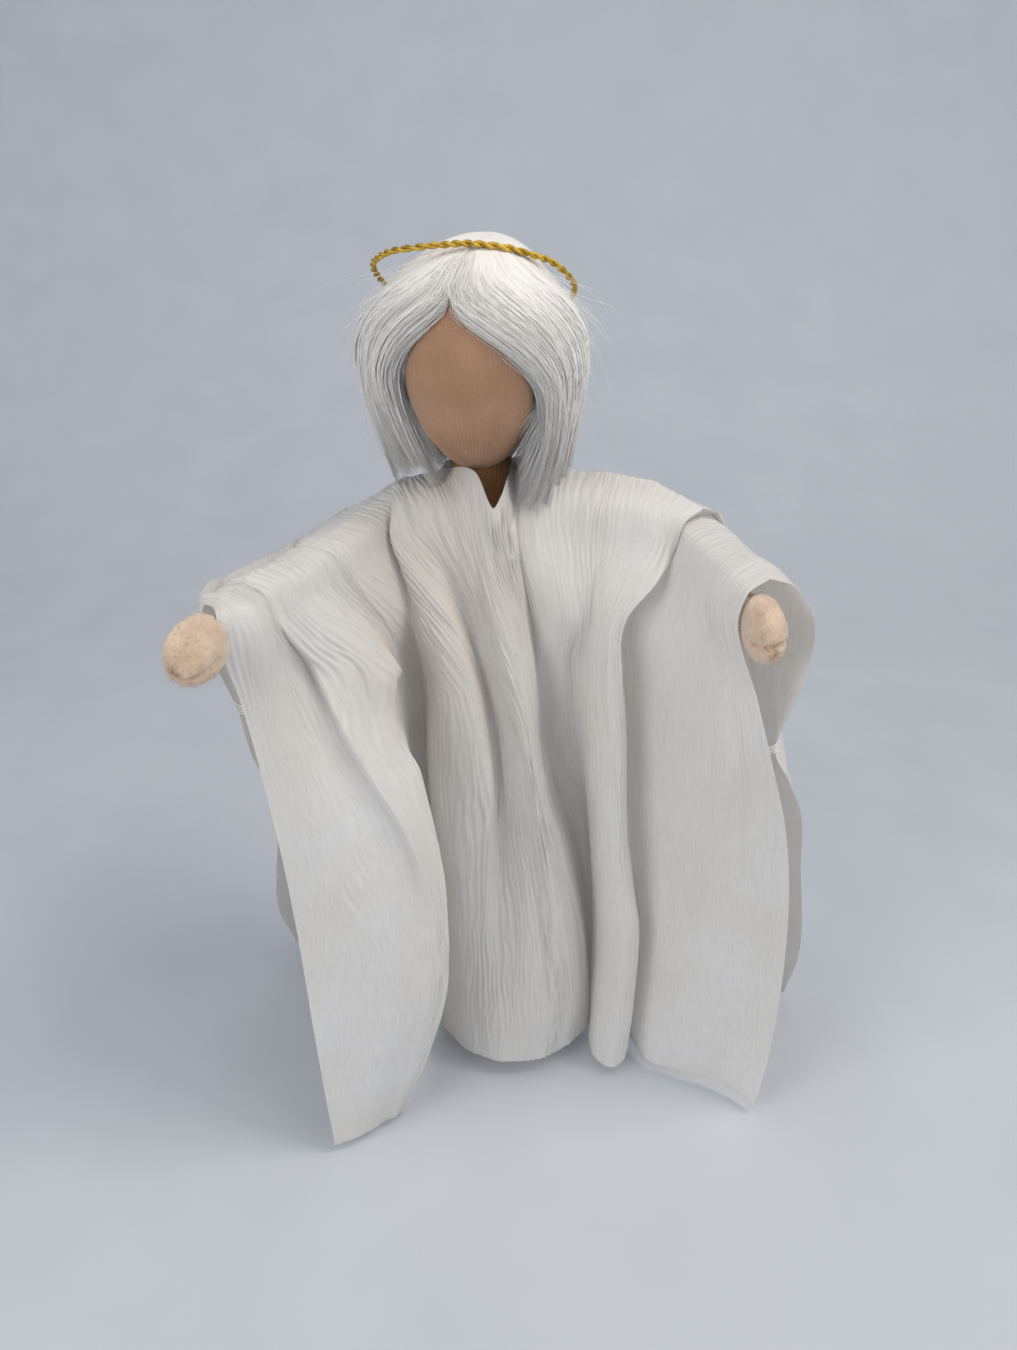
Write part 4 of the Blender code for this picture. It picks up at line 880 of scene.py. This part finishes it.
def build_collar(front, back, shoulder):
    """The neckline's facing: the edge rolled over and a strip turned down inside, all round."""
    open_columns = np.flatnonzero(~shoulder)
    first, last = open_columns[0] - 1, open_columns[-1] + 1
    strips = []
    for grid, turn in ((front, 1.0), (back, -1.0)):
        drops = np.linalg.norm(grid[1:FACING_ROWS] - grid[0], axis=2)[:, open_columns].mean(1)
        low = 1 + int(np.argmin(np.abs(drops - FACING_DEPTH)))
        inward = np.array([0.0, 0.95 * turn, -0.3])
        rows = [
            grid[0],
            grid[0] + np.array([0, 0, 0.2]) + 0.3 * inward,
            grid[0] + 0.7 * inward,
            grid[low // 2] + 1.1 * inward,
            grid[low] + 1.1 * inward,
        ]
        strips.append(np.array(rows)[:, first:last + 1])
    verts, faces = [], []
    for strip, turn in zip(strips, (1, -1)):
        quads = grid_faces(*strip.shape[:2], closed=False, first=sum(len(v) for v in verts))
        faces.append(quads if turn > 0 else quads[:, ::-1])
        verts.append(strip.reshape(-1, 3))
    collar = new_mesh("collar_facing", world(np.concatenate(verts)), np.concatenate(faces), SILK)
    add_uv(collar, "cloth", np.concatenate(verts)[:, [0, 2]])
    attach(collar, "torso")
    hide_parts("neck_binding")


build_robe()


# Stitches below each cuff, in mm
STITCHES = 4
STITCH_POINTS = 12
STITCH_BULGE = np.array([0, -0.8, 0])
THREAD_RADIUS = 0.1


def build_tack(name):
    """A few stitches that hold front and back together below a cuff, and a loose end of thread."""
    index = 0 if name == "right" else LAST
    front, back = cuff_edge(index, "front")[-1], cuff_edge(index, "back")[-1]
    middle = (front + back) / 2
    reach = 0.5 * (front - back) + 0.7 * unit(front - back)
    paths = []
    shares = np.linspace(0, 1, STITCH_POINTS)
    for k in range(STITCHES):
        lift = np.array([0, 0, 0.9 * (k - 1.5)])
        start, end = middle - reach + lift, middle + reach + 0.7 * lift
        paths.append([start + (end - start) * t + STITCH_BULGE * math.sin(math.pi * t) for t in shares])
    if name == "left":
        ends = np.linspace(0, 0.55, STITCH_POINTS)
        paths.append([middle + np.array([4.5 * t, -1.0 - 0.6 * t, -1.2 * t + 1.6 * t * t]) for t in ends])
    verts, faces = tubes(np.array(paths), THREAD_RADIUS, 6, middle + np.array([0, 40, 0]), 0.8)
    tack = new_mesh("tack_stitches_" + name, world(verts), faces, THREAD)
    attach(tack, "forearm_" + name)
    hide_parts("sleeve_tack_" + name)


for arm_name in SIDES:
    build_tack(arm_name)


# Head: a stuffed egg in fine knit, turned a little, on a knit neck
HEAD_LOW, HEAD_HIGH = [own(corner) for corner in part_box("head_skin")]
HEAD_AT = (HEAD_HIGH + HEAD_LOW) / 2
HEAD_TURN = math.radians(-7)
CHIN_TAPER = 0.12
HEAD_EASE = np.array([1.05, 1.0, 1.0])
KNIT_WALES = 96
NECK_WALES = 40
NECK_WIDE = 8.4
NECK_FLARE = 2.0
NECK_FLAT = 0.8
NECK_TO_LEFT = 1.2


def egg_narrow(height):
    """How much narrower than a ball the egg is, from crown (1) to chin (-1)."""
    return 1.0 - CHIN_TAPER * (0.5 - 0.5 * height) ** 2 * 2


EGG_HEIGHTS = np.linspace(-1, 1, 201)
EGG_WIDEST = (np.sqrt(1 - EGG_HEIGHTS ** 2) * egg_narrow(EGG_HEIGHTS)).max()
HEAD_HALF = (HEAD_HIGH - HEAD_LOW) / 2 / np.array([EGG_WIDEST, EGG_WIDEST, 1.0]) * HEAD_EASE


def build_head():
    """The egg, with the ribs of its knit showing most at the chin."""
    rows, columns = 150, KNIT_WALES * 6
    polar = np.linspace(0.012, math.pi - 0.012, rows)[:, None]
    turn = round_turns(columns)
    z = np.cos(polar) + 0 * turn
    narrow = egg_narrow(z)
    out = np.stack([np.sin(polar) * np.cos(turn) * narrow, np.sin(polar) * np.sin(turn) * narrow, z], -1)
    chin = step(1.7, 2.4, polar) * step(3.1, 2.75, polar)
    ribs = np.cos(KNIT_WALES * turn + 0.8 * noise(turn * 6, polar * 9, 12))
    lumps = 0.12 * noise(turn * 3.2, polar * 4, 13) + 0.04 * noise(turn * 30, polar * 22, 14)
    height = ribs * (0.03 + 0.13 * chin) + lumps
    points = turn_z(out * (HEAD_HALF + height[..., None] - 0.1), HEAD_TURN) + HEAD_AT
    head = round_mesh("head", points, SKIN)
    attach(head, "head")
    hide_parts("head_skin")


def build_neck():
    """The knit neck from the collar up into the head, with upright ribs; its brown is coloured darker than
    the face's knit as painted shade.
    """
    rows, columns = 70, 264
    top = HEAD_LOW[2] - NECK_MM + 5.0
    high = np.linspace(-5.5, top, rows)[:, None]
    turn = round_turns(columns)
    radius = NECK_WIDE + NECK_FLARE * step(4, -4, high)
    ribs = 0.13 * np.cos(NECK_WALES * turn + 0.6 * noise(turn * 4, high / 5, 21))
    out = radius + (ribs + 0.16 * noise(turn * 3, high / 6, 22))
    x, y = NECK_TO_LEFT + out * np.cos(turn), NECK_FLAT * out * np.sin(turn)
    points = np.stack([x, y, NECK_MM + high + 0 * turn], -1)
    neck = round_mesh("neck_tube", points, SHADED_NECK_KNIT)
    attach(neck, "neck")
    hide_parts("neck")


build_head()
build_neck()


# Hair: combed from the crown over the head, parted above the face, hanging to the shoulders
HAIR_AT = HEAD_AT + np.array([0.0, 3.0, 0.0])
HAIR_GAP = np.array([10.2, 9.0, 4.6])
NARROWER_LEFT = 2.8
FACE_SIDE = {1: math.radians(61), -1: math.radians(58)}
PARTING = math.radians(-11)
HAIRLINE = math.radians(50)
SWEEP_END = math.radians(150)
SWEEP = {1: 3.3, -1: 4.0}
SWEEP_EASE = 0.07
FALL_TURN = math.radians(60)
LOCK_FORWARD = 7.0
CROWN_LAYER = 0.62
CROWN_LEAN = np.array([3.0, 0.0, 1.6])
MASS_BELOW = 0.1
MASS_FORWARD = 0.5
LOCKS = 52
STRANDS = 13000
STRAND_POINTS = 20
STRAND_RADIUS = 0.08
DOME = 0.54
# Shares of the strands that lie near the face and that fall a little over it
NEAR_FACE = 0.32
FRINGE = 0.08
# Where side strands end and back strands begin, as an angle round the head
SIDE_TO = 1.6
# Loose hairs, and the share of them that stands off the crown
FLYAWAYS = 420
OFF_CROWN = 0.55


def combed(angle):
    """Where a strand that leaves the crown at an angle hangs: the front ones part beside the face."""
    side = np.where(angle >= 0, 1, -1)
    face = np.where(side > 0, FACE_SIDE[1], FACE_SIDE[-1])
    return side * (face + np.abs(angle) * (math.pi - face) / math.pi)


def over_left(hang):
    """From 0 to 1 for the lock that lies over the figure's left shoulder."""
    return np.exp(-((hang - math.radians(60)) / math.radians(22)) ** 2)


def tip_height(hang):
    """Height of the tips in mm by where they hang: longest over the figure's left shoulder."""
    over_right = np.exp(-((hang + math.radians(84)) / math.radians(24)) ** 2)
    behind_left = np.exp(-((hang - math.radians(112)) / math.radians(28)) ** 2)
    return NECK_MM + 10.0 - 7.0 * over_left(hang) - 1.5 * over_right - 4.5 * behind_left


def hair_path(angle, layer, shares, crown=0.1, short=0.0, tuck=0.0, leaves=HAIRLINE, forward=LOCK_FORWARD):
    """Points of strands: angle at the crown, layer from scalp (0) to outside (1), shares from root to tip.
    Tuck goes from 0 to 1 where a lock turns in behind the cheek."""
    given = (angle, layer, crown, short, tuck, leaves)
    angle, layer, crown, short, tuck, leaves = [np.asarray(item, float)[..., None] for item in given]
    hang = combed(angle)
    side = np.sign(hang)
    over = np.clip(shares / DOME, 0, 1)
    fall = np.clip((shares - DOME) / (1 - DOME), 0, 1)
    polar = crown + (math.pi / 2 - crown) * over
    leaves = leaves * (1 - 0.7 * step(0.0, 1.0, np.abs(angle)))
    turned = np.clip((polar + FALL_TURN * fall - leaves) / (SWEEP_END - leaves), 0, 1)
    turned = turned * turned * (1 + SWEEP_EASE) / (turned + SWEEP_EASE)
    swept = 1 - (1 - turned) ** np.where(side > 0, SWEEP[1], SWEEP[-1])
    leaving = angle + PARTING * np.exp(-(angle / 0.7) ** 2)
    around = leaving + (hang - leaving) * swept + side * 0.6 * tuck * fall
    lock = (np.round(hang / (2 * math.pi) * LOCKS) + 0.15) / LOCKS * 2 * math.pi
    around = around + (lock - hang) * 0.75 * fall ** 3
    lies_flat = HAIRLINE + 0.1 + (1.3 - HAIRLINE) * step(0.0, 0.5, np.abs(angle))
    at_crown = step(lies_flat, lies_flat - 0.75, polar)
    depth = layer + (CROWN_LAYER - layer) * at_crown
    reach = HEAD_HALF + HAIR_GAP * depth[..., None]
    narrows = np.where(side > 0, 0.12, 0.19) * step(2.4, 1.7, np.abs(hang)) + 0.08
    drawn = 1.0 - (narrows + 0.31 * np.clip(0.9 - layer, 0, 0.9)) * fall ** 1.4 - 0.2 * tuck * fall
    ring = np.sin(polar) ** (0.98 + 0.08 * np.sin(around)) * drawn
    drop = (HAIR_AT[2] - tip_height(hang) - short) * fall
    side_way = np.sin(around)
    x = (reach[..., 0] - NARROWER_LEFT * depth * np.clip(side_way, 0, 1)) * ring * side_way
    y = -reach[..., 1] * ring * np.cos(around) - forward * over_left(hang) * (1 - tuck) * fall ** 2
    z = reach[..., 2] * np.cos(polar) - drop
    lean = np.clip(np.cos(polar), 0, 1)[..., None] ** 4 * CROWN_LEAN
    return turn_z(np.stack([x, y, z], -1) + lean, HEAD_TURN) + HAIR_AT


def hair_layer(angle):
    """How far out the wig's body lies: thin along the face, full at the sides and back."""
    return 0.05 + 0.97 * np.clip(np.abs(angle) / 0.8, 0, 1) ** 0.55


def hair_piece(name, verts, faces, uvs):
    piece = new_mesh(name, world(verts), faces, WIG)
    add_uv(piece, "strand", uvs)
    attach(piece, "head")
    return piece


def strand_piece(name, paths, radius):
    verts, faces = tubes(paths, radius, 3, HAIR_AT - np.array([0, 0, 8.0]))
    count, points, _ = paths.shape
    lane = np.repeat(np.arange(count) * 7.31 % 500, points * 3)
    share = np.tile(np.repeat(np.linspace(0, 40, points), 3), count)
    piece = hair_piece(name, verts, faces, np.stack([lane, share], 1))
    away = unit((verts - HAIR_AT) / (HEAD_HALF + HAIR_GAP) ** 2)
    around = vertex_normals(verts, faces)
    piece.data.normals_split_custom_set_from_vertices(unit(0.7 * away + 0.3 * around).tolist())
    return piece


def build_hair_mass():
    """The wig's body: one combed sheet, turned in behind the cheeks, with locks in relief."""
    rows, columns, turned = 80, 900, 24
    inward = np.linspace(1, 0, turned, endpoint=False)
    angle = np.concatenate([np.full(turned, 1e-4), np.linspace(1e-4, math.pi, columns // 2)])
    tuck = np.concatenate([inward, np.zeros(columns // 2)])
    verts, faces, uvs = [], [], []
    for side in (1, -1):
        turn = side * angle
        locks = 0.05 * noise(turn * 11, 0, 33)
        ragged = 16.0 + 2.5 * noise(turn * 14, 0, 31) + 1.5 * noise(turn * 45, 0, 32)
        layer = hair_layer(turn) - MASS_BELOW * np.exp(-(angle / 0.15) ** 2)
        layer = layer + locks * (1 - tuck) - 0.3 * tuck
        ragged = ragged * (1 - 0.9 * tuck)
        grid = hair_path(turn, layer, np.linspace(0, 1, rows), 0.02, ragged, tuck, forward=MASS_FORWARD)
        grid = np.swapaxes(grid, 0, 1)
        quads = grid_faces(*grid.shape[:2], closed=False, first=sum(len(v) for v in verts))
        faces.append(quads if side > 0 else quads[:, ::-1])
        verts.append(grid.reshape(-1, 3))
        lanes = np.meshgrid(np.linspace(0, 350, grid.shape[1]), np.linspace(0, 40, rows))
        uvs.append(np.stack(lanes, -1).reshape(-1, 2))
    mass = hair_piece("hair_mass", np.concatenate(verts), np.concatenate(faces), np.concatenate(uvs))
    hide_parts("hair")


def build_strands(draw):
    """Single strands over the wig's body, gathered into pointed locks."""
    shares = np.linspace(0, 1, STRAND_POINTS)
    angle = draw.uniform(-math.pi, math.pi, STRANDS)
    near_face = draw.random(STRANDS) < NEAR_FACE
    angle = np.where(near_face, np.sign(angle) * (draw.gamma(1.1, 0.13, STRANDS) + 1e-4), angle)
    tuck = np.where(near_face & (draw.random(STRANDS) < 0.5), draw.uniform(0, 1.0, STRANDS), 0.0)
    layer = hair_layer(angle) + 0.05 * noise(angle * 11, 0, 33)
    layer = layer + draw.normal(0.06, 0.04, STRANDS) - 0.3 * tuck
    crown = draw.uniform(0.02, 0.85, STRANDS) ** 1.3
    short = draw.gamma(1.2, 6.0, STRANDS) - 4.5 + 6.0 * noise(combed(angle) * 14, 0, 37)
    fringe = np.where(draw.random(STRANDS) < FRINGE, draw.gamma(1.3, 0.035, STRANDS), 0.0)
    leaves = HAIRLINE + draw.normal(-0.01, 0.035, STRANDS) + fringe
    layer = layer + np.abs(draw.normal(0, 0.1, STRANDS)) * np.exp(-np.abs(angle) / 0.25)
    paths = hair_path(angle, np.clip(layer, -0.2, 1.2), shares, crown, short, tuck, leaves)
    lane = (angle * 20)[:, None]
    wave = np.stack([noise(shares[None] * 2.4, lane + k * 40, 35 + k) for k in range(3)], -1)
    loose = (shares ** 1.5)[None, :, None] * draw.gamma(1.8, 0.36, STRANDS)[:, None, None]
    paths = paths + wave * loose
    radius = STRAND_RADIUS * draw.uniform(0.6, 1.25, STRANDS)
    hang = combed(angle)
    parts = {
        "left": (hang > 0) & (hang < SIDE_TO),
        "right": (hang < 0) & (hang > -SIDE_TO),
        "back_left": hang >= SIDE_TO,
        "back_right": hang <= -SIDE_TO,
    }
    for name, chosen in parts.items():
        strand_piece("hair_strands_" + name, paths[chosen], radius[chosen])


def build_flyaways(draw):
    """Loose hairs that stand off the crown and the sides."""
    count = FLYAWAYS
    shares = np.linspace(0, 1, STRAND_POINTS)
    angle = draw.uniform(-math.pi, math.pi, count)
    paths = hair_path(angle, draw.uniform(0.95, 1.15, count), shares, draw.uniform(0.05, 0.7, count), 0.0)
    away = unit(paths - HAIR_AT) + np.array([0, 0, 0.25])
    at_crown = draw.random(count) < OFF_CROWN
    start = np.where(at_crown, draw.uniform(0.0, 0.25, count), draw.uniform(0.45, 0.8, count))
    lifted = np.clip((shares[None] - start[:, None]) / 0.3, 0, 1) ** 1.6
    size = np.clip(draw.gamma(2.0, 1.5, count), 0, 5.5)
    bent = draw.normal(0, 0.7, (count, 1, 3))
    out = paths + (away + bent * lifted[..., None]) * (lifted * size[:, None])[..., None]
    ends = np.where(at_crown, start + 0.34, 1.0)
    at = np.clip(shares[None] * ends[:, None] * (STRAND_POINTS - 1), 0, STRAND_POINTS - 1.001)
    low = np.floor(at).astype(int)
    row = np.arange(count)[:, None]
    cut = out[row, low] + (out[row, low + 1] - out[row, low]) * (at - low)[..., None]
    strand_piece("hair_flyaways", cut, draw.uniform(0.04, 0.065, count))


DRAW = np.random.default_rng(5)
build_hair_mass()
build_strands(DRAW)
build_flyaways(DRAW)


# Halo: two gold wires twisted into an oval ring that rests on the crown
HALO_TURNS = 24
HALO_STRAND = 0.47
HALO_LAY = 0.48
HALO_DROP = np.array([-0.8, 0.0, -1.7])
HALO_TILT = math.radians(26)
HALO_ROLL = math.radians(5.5)
HALO_NARROWS = 0.965
HALO_BENDS = 1.0
POINTS_PER_TURN = 14


def halo_middle(angle):
    """The ring's middle line, between the CAD ring's ends, with the small kinks of hand twisting."""
    low, high = [own(corner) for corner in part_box("halo_wire_a")]
    other_low, other_high = [own(corner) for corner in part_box("halo_wire_b")]
    low, high = np.minimum(low, other_low), np.maximum(high, other_high)
    thick = HALO_STRAND + HALO_LAY
    middle = (low + high) / 2 + HALO_DROP
    half_x = ((high[0] - low[0]) / 2 - thick) * HALO_NARROWS
    half_y = (high[1] - low[1]) / 2 - thick
    x, y = half_x * np.sin(angle), -half_y * np.cos(angle)
    z = -(y * math.tan(HALO_TILT)) - x * math.tan(HALO_ROLL)
    kink = 0.35 * noise(angle * 3.5, 0, 51) + HALO_BENDS * np.sin(2 * angle) * np.cos(angle).clip(0, 1)
    return middle + np.stack([x, y, z + kink], -1)


def build_halo():
    count = HALO_TURNS * POINTS_PER_TURN
    angle = np.linspace(0, 2 * math.pi, count + 1)
    middle = halo_middle(angle)
    ahead = unit(halo_middle(angle + 0.01) - halo_middle(angle - 0.01))
    out = middle - HAIR_AT
    out = unit(out - ahead * (out * ahead).sum(-1, keepdims=True))
    across_way = np.cross(ahead, out)
    for name, lead in (("a", 0.0), ("b", math.pi)):
        twist = HALO_TURNS * angle + 0.9 * np.sin(3 * angle) + 0.6 * np.sin(7 * angle + 1.0) + lead
        path = middle + HALO_LAY * (out * np.cos(twist)[:, None] + across_way * np.sin(twist)[:, None])
        verts, faces = tubes(path[None], HALO_STRAND, 12, HAIR_AT, 1.0)
        strand = new_mesh("halo_strand_" + name, world(verts), faces, GOLD)
        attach(strand, "head")
        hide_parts("halo_wire_" + name)


build_halo()


# Hands: felt mittens, palm and thumb in one stuffed shape with a stitched crease
HAND_HALF = {"left": (5.0, 8.2, 9.5), "right": (5.9, 8.0, 9.5)}
HAND_DISH = {"left": ((0.5, -0.8, 0.2), 0.5), "right": ((0.25, -0.8, 0.35), 1.5)}
HAND_CREASE = {"left": (-0.1, 0.6, 1.5), "right": (0.35, -0.75, 1.0)}
HAND_SHIFT = {"left": (-2.0, 0.0, 0.0), "right": (0.0, 0.0, 0.0)}
HAND_GRID = (130, 150)
# How blunt the mitten is (2 would be an egg), and its loose fibres
BLUNT = 2.3
FUZZ = 900
FUZZ_RADIUS = 0.035


def hand_axes(name):
    """Across, up and along the hand."""
    along = hand_way(name)
    side = unit(np.cross(along, [0, 0, 1]))
    return side, np.cross(side, along), along


def build_hand(name):
    """One mitten and the loose fibres on it."""
    side, up, along = hand_axes(name)
    wrist = own(JOINT["wrist_%s_lift" % name])
    half = np.array(HAND_HALF[name])
    rows, columns = HAND_GRID
    polar = np.linspace(0.01, math.pi - 0.01, rows)[:, None]
    turn = round_turns(columns)
    x, y, z = np.sin(polar) * np.cos(turn), np.sin(polar) * np.sin(turn), np.cos(polar) + 0 * turn
    blunt = (np.abs(x) ** BLUNT + np.abs(y) ** BLUNT + np.abs(z) ** BLUNT) ** (-1 / BLUNT)
    way = np.stack([x, y, z], -1)
    frame_way = way[..., :1] * side + way[..., 1:2] * up + way[..., 2:] * along
    dish_way, dish = HAND_DISH[name]
    radius = blunt - dish / 8 * np.exp(-((1 - frame_way @ unit(dish_way)) / 0.10) ** 2)
    lean, height, deep = HAND_CREASE[name]
    from_crease = y * math.cos(lean) - x * math.sin(lean) - height * (0.35 - 0.5 * x * x)
    front = step(-0.1, 0.5, frame_way @ unit([0.0, -1.0, 0.3]))
    radius = radius - deep / 8 * np.exp(-(from_crease / 0.09) ** 2) * front
    radius = radius + 0.02 * noise(turn * 3, polar * 4, 61) + 0.012 * noise(turn * 11, polar * 12, 62)
    size = way * half * radius[..., None]
    centre = wrist + along * (half[2] + 0.8) + np.array(HAND_SHIFT[name])
    points = centre + size[..., :1] * side + size[..., 1:2] * up + size[..., 2:] * along
    hand = round_mesh("mitten_" + name, points, HAND)
    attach(hand, "hand_" + name)
    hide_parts("hand_" + name)
    chosen = DRAW.integers(0, rows * columns, FUZZ)
    roots = points.reshape(-1, 3)[chosen]
    out = unit(roots - centre) + DRAW.normal(0, 0.55, (FUZZ, 3))
    shares = np.linspace(0, 1, 4)[None, :, None]
    curl = DRAW.normal(0, 0.35, (FUZZ, 1, 3))
    length = DRAW.uniform(0.4, 1.1, (FUZZ, 1, 1))
    paths = roots[:, None] + (out[:, None] * shares + curl * shares ** 2) * length
    verts, faces = tubes(paths, FUZZ_RADIUS, 3, centre)
    fuzz = new_mesh("mitten_fuzz_" + name, world(verts), faces, HAND)
    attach(fuzz, "hand_" + name)


for arm_name in SIDES:
    build_hand(arm_name)


# Hidden frame: sisal wound on the wires, lead feet and felt soles
WIND_PITCH = 1.9
# Each limb's padding: joints, radius, how far before the second joint it ends, and the radius there
LIMBS = {
    "upper_arm": ("shoulder_%s_swing", "elbow_%s_swing", 4.8, 3.6, 3.4),
    "forearm": ("elbow_%s_swing", "wrist_%s_lift", 4.4, 3.6, 3.4),
    "thigh": ("hip_%s_bend", "knee_%s_bend", 6.2, 4.0, 4.0),
    "shin": ("knee_%s_bend", "ankle_%s_bend", 5.2, 4.0, 4.0),
}
# The torso's radius from hip to neck, as shares of its half width, and how far it lies inside the solid
TORSO_SHARES = np.array([0.3, 0.8, 0.76, 0.68, 0.7, 0.78, 0.88, 0.97, 0.9, 0.3])
TORSO_INSIDE = 0.3


def wound(name, node, body, start, end, radii, squeeze=(1.0, 1.0)):
    """Sisal wound round a limb from start to end; radii at even shares along it."""
    start, end = np.asarray(start, float), np.asarray(end, float)
    length = np.linalg.norm(end - start)
    along = (end - start) / length
    side = unit(np.cross(along, [0.0, 1.0, 0.1]))
    other = np.cross(along, side)
    rows, columns = max(int(length / 0.45), 20), 60
    share = np.linspace(0, 1, rows)[:, None]
    turn = round_turns(columns)
    base = np.interp(share, np.linspace(0, 1, len(radii)), radii)
    wind = 0.16 * np.cos(2 * math.pi * share * length / WIND_PITCH - turn)
    wind = wind + 0.12 * noise(share * length / 1.2, turn * 3, 71)
    wide = base + wind * step(0.0, 0.06, share) * step(1.0, 0.94, share)
    points = (start + along * (share * length)[..., None]
              + side * (wide * np.cos(turn) * squeeze[0])[..., None]
              + other * (wide * np.sin(turn) * squeeze[1])[..., None])
    piece = round_mesh(name, points, SISAL)
    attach(piece, body)
    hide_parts(node)


def build_padding():
    """Padding of arms, legs and torso, on the bodies and in place of the solids of the same limbs."""
    for name in SIDES:
        for part, (first, second, wide, before, narrow) in LIMBS.items():
            a, b = own(JOINT[first % name]), own(JOINT[second % name])
            way = unit(b - a)
            limb = "%s_%s" % (part, name)
            radii = [0.4, wide, wide, wide * 0.95, narrow, 0.3]
            wound("%s_winding_%s" % (part, name), limb + "_padding", limb,
                  a - way * wide * 0.9, b - way * before, radii)
    low, high = [own(corner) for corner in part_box("torso_padding")]
    half = (high - low) / 2 - TORSO_INSIDE
    start, end = (0, 0, low[2] + TORSO_INSIDE), (0, 0, high[2] - TORSO_INSIDE)
    wound("torso_winding", "torso_padding", "torso", start, end, half[0] * TORSO_SHARES,
          (1.0, half[1] / half[0]))


CARRIED_OVER = {"_wire": STEEL, "foot_weight": LEAD, "sole_": SOLE, "head_core": FOAM}


def paint_carried_over():
    """CAD solids that stay in view: wires, feet, soles and the head's core get their own material."""
    for obj in bpy.data.objects:
        for part, mat in CARRIED_OVER.items():
            if part in obj.name and obj.type == "MESH" and not obj.hide_render and len(obj.material_slots):
                for place in obj.material_slots:
                    place.material = mat


build_padding()
paint_carried_over()


# Stage: floor in metres, lamps (place, height aimed at, size, power, colour) and the light all round
FLOOR_FRONT = -2.5
FLOOR_BEND = 0.35
FLOOR_ROUND = 0.5
FLOOR_HIGH = 2.5
FLOOR_HALF = 3.0
LAMPS = {
    "key": ((0.48, -0.10, 0.95), 0.14, 0.4, 3.8, (1.0, 0.94, 0.86)),
    "fill": ((-0.7, -0.6, 0.5), 0.14, 0.6, 3.4, (1.0, 0.98, 0.95)),
    "side": ((0.8, -0.6, 0.45), 0.14, 0.6, 2.4, (1.0, 0.98, 0.95)),
    "top": ((-0.15, -0.2, 1.1), 0.16, 0.5, 1.2, (1.0, 0.97, 0.92)),
}
SKY = (0.88, 0.92, 1.0, 1.0)
SKY_STRENGTH = 0.44


def build_floor():
    """Plain pale floor that curves up behind."""
    m = Nodes("floor")
    grain = m.texture(m.position(), 0.02, 2.0)
    m.set(Base_Color=m.ramp(grain, [(0.3, (0.53, 0.56, 0.61)), (0.7, (0.56, 0.59, 0.64))]), Roughness=0.9)
    profile = [(FLOOR_FRONT, 0.0), (FLOOR_BEND, 0.0)]
    for i in range(1, 13):
        angle = math.radians(7.5 * i)
        profile.append((FLOOR_BEND + FLOOR_ROUND * math.sin(angle), FLOOR_ROUND * (1 - math.cos(angle))))
    profile.append((FLOOR_BEND + FLOOR_ROUND, FLOOR_HIGH))
    verts = [(x, y, z) for y, z in profile for x in (-FLOOR_HALF, FLOOR_HALF)]
    faces = [(2 * i, 2 * i + 1, 2 * i + 3, 2 * i + 2) for i in range(len(profile) - 1)]
    new_mesh("floor", verts, faces, m.mat)


def build_lamp(name, at, aim_height, size, power, colour):
    """A round soft lamp that points at the figure."""
    data = bpy.data.lights.new(name, "AREA")
    data.shape = "DISK"
    data.size = size
    data.energy = power
    data.color = colour
    lamp = put_in_scene(name, data)
    lamp.location = at
    lamp.rotation_euler = (Vector((0, 0, aim_height)) - Vector(at)).to_track_quat("-Z", "Y").to_euler()


def build_stage():
    """The floor, soft lamps and the photograph's camera."""
    build_floor()
    for name, values in LAMPS.items():
        build_lamp(name, *values)
    sky = bpy.data.worlds.new("studio")
    bpy.context.scene.world = sky
    sky.use_nodes = True
    shade = sky.node_tree.nodes["Background"]
    shade.inputs["Color"].default_value = SKY
    shade.inputs["Strength"].default_value = SKY_STRENGTH
    data = bpy.data.cameras.new("camera")
    data.sensor_width = CAMERA_SENSOR
    data.lens = CAMERA_LENS
    data.clip_start = CAMERA_NEAR
    camera = put_in_scene("camera", data)
    camera.location = (AXIS[0] + CAMERA_RIGHT, AXIS[1] - CAMERA_BACK, CAMERA_HEIGHT)
    camera.rotation_euler = (CAMERA_TILT, 0, 0)
    bpy.context.scene.camera = camera


build_stage()
bpy.context.scene.view_settings.view_transform = "Standard"
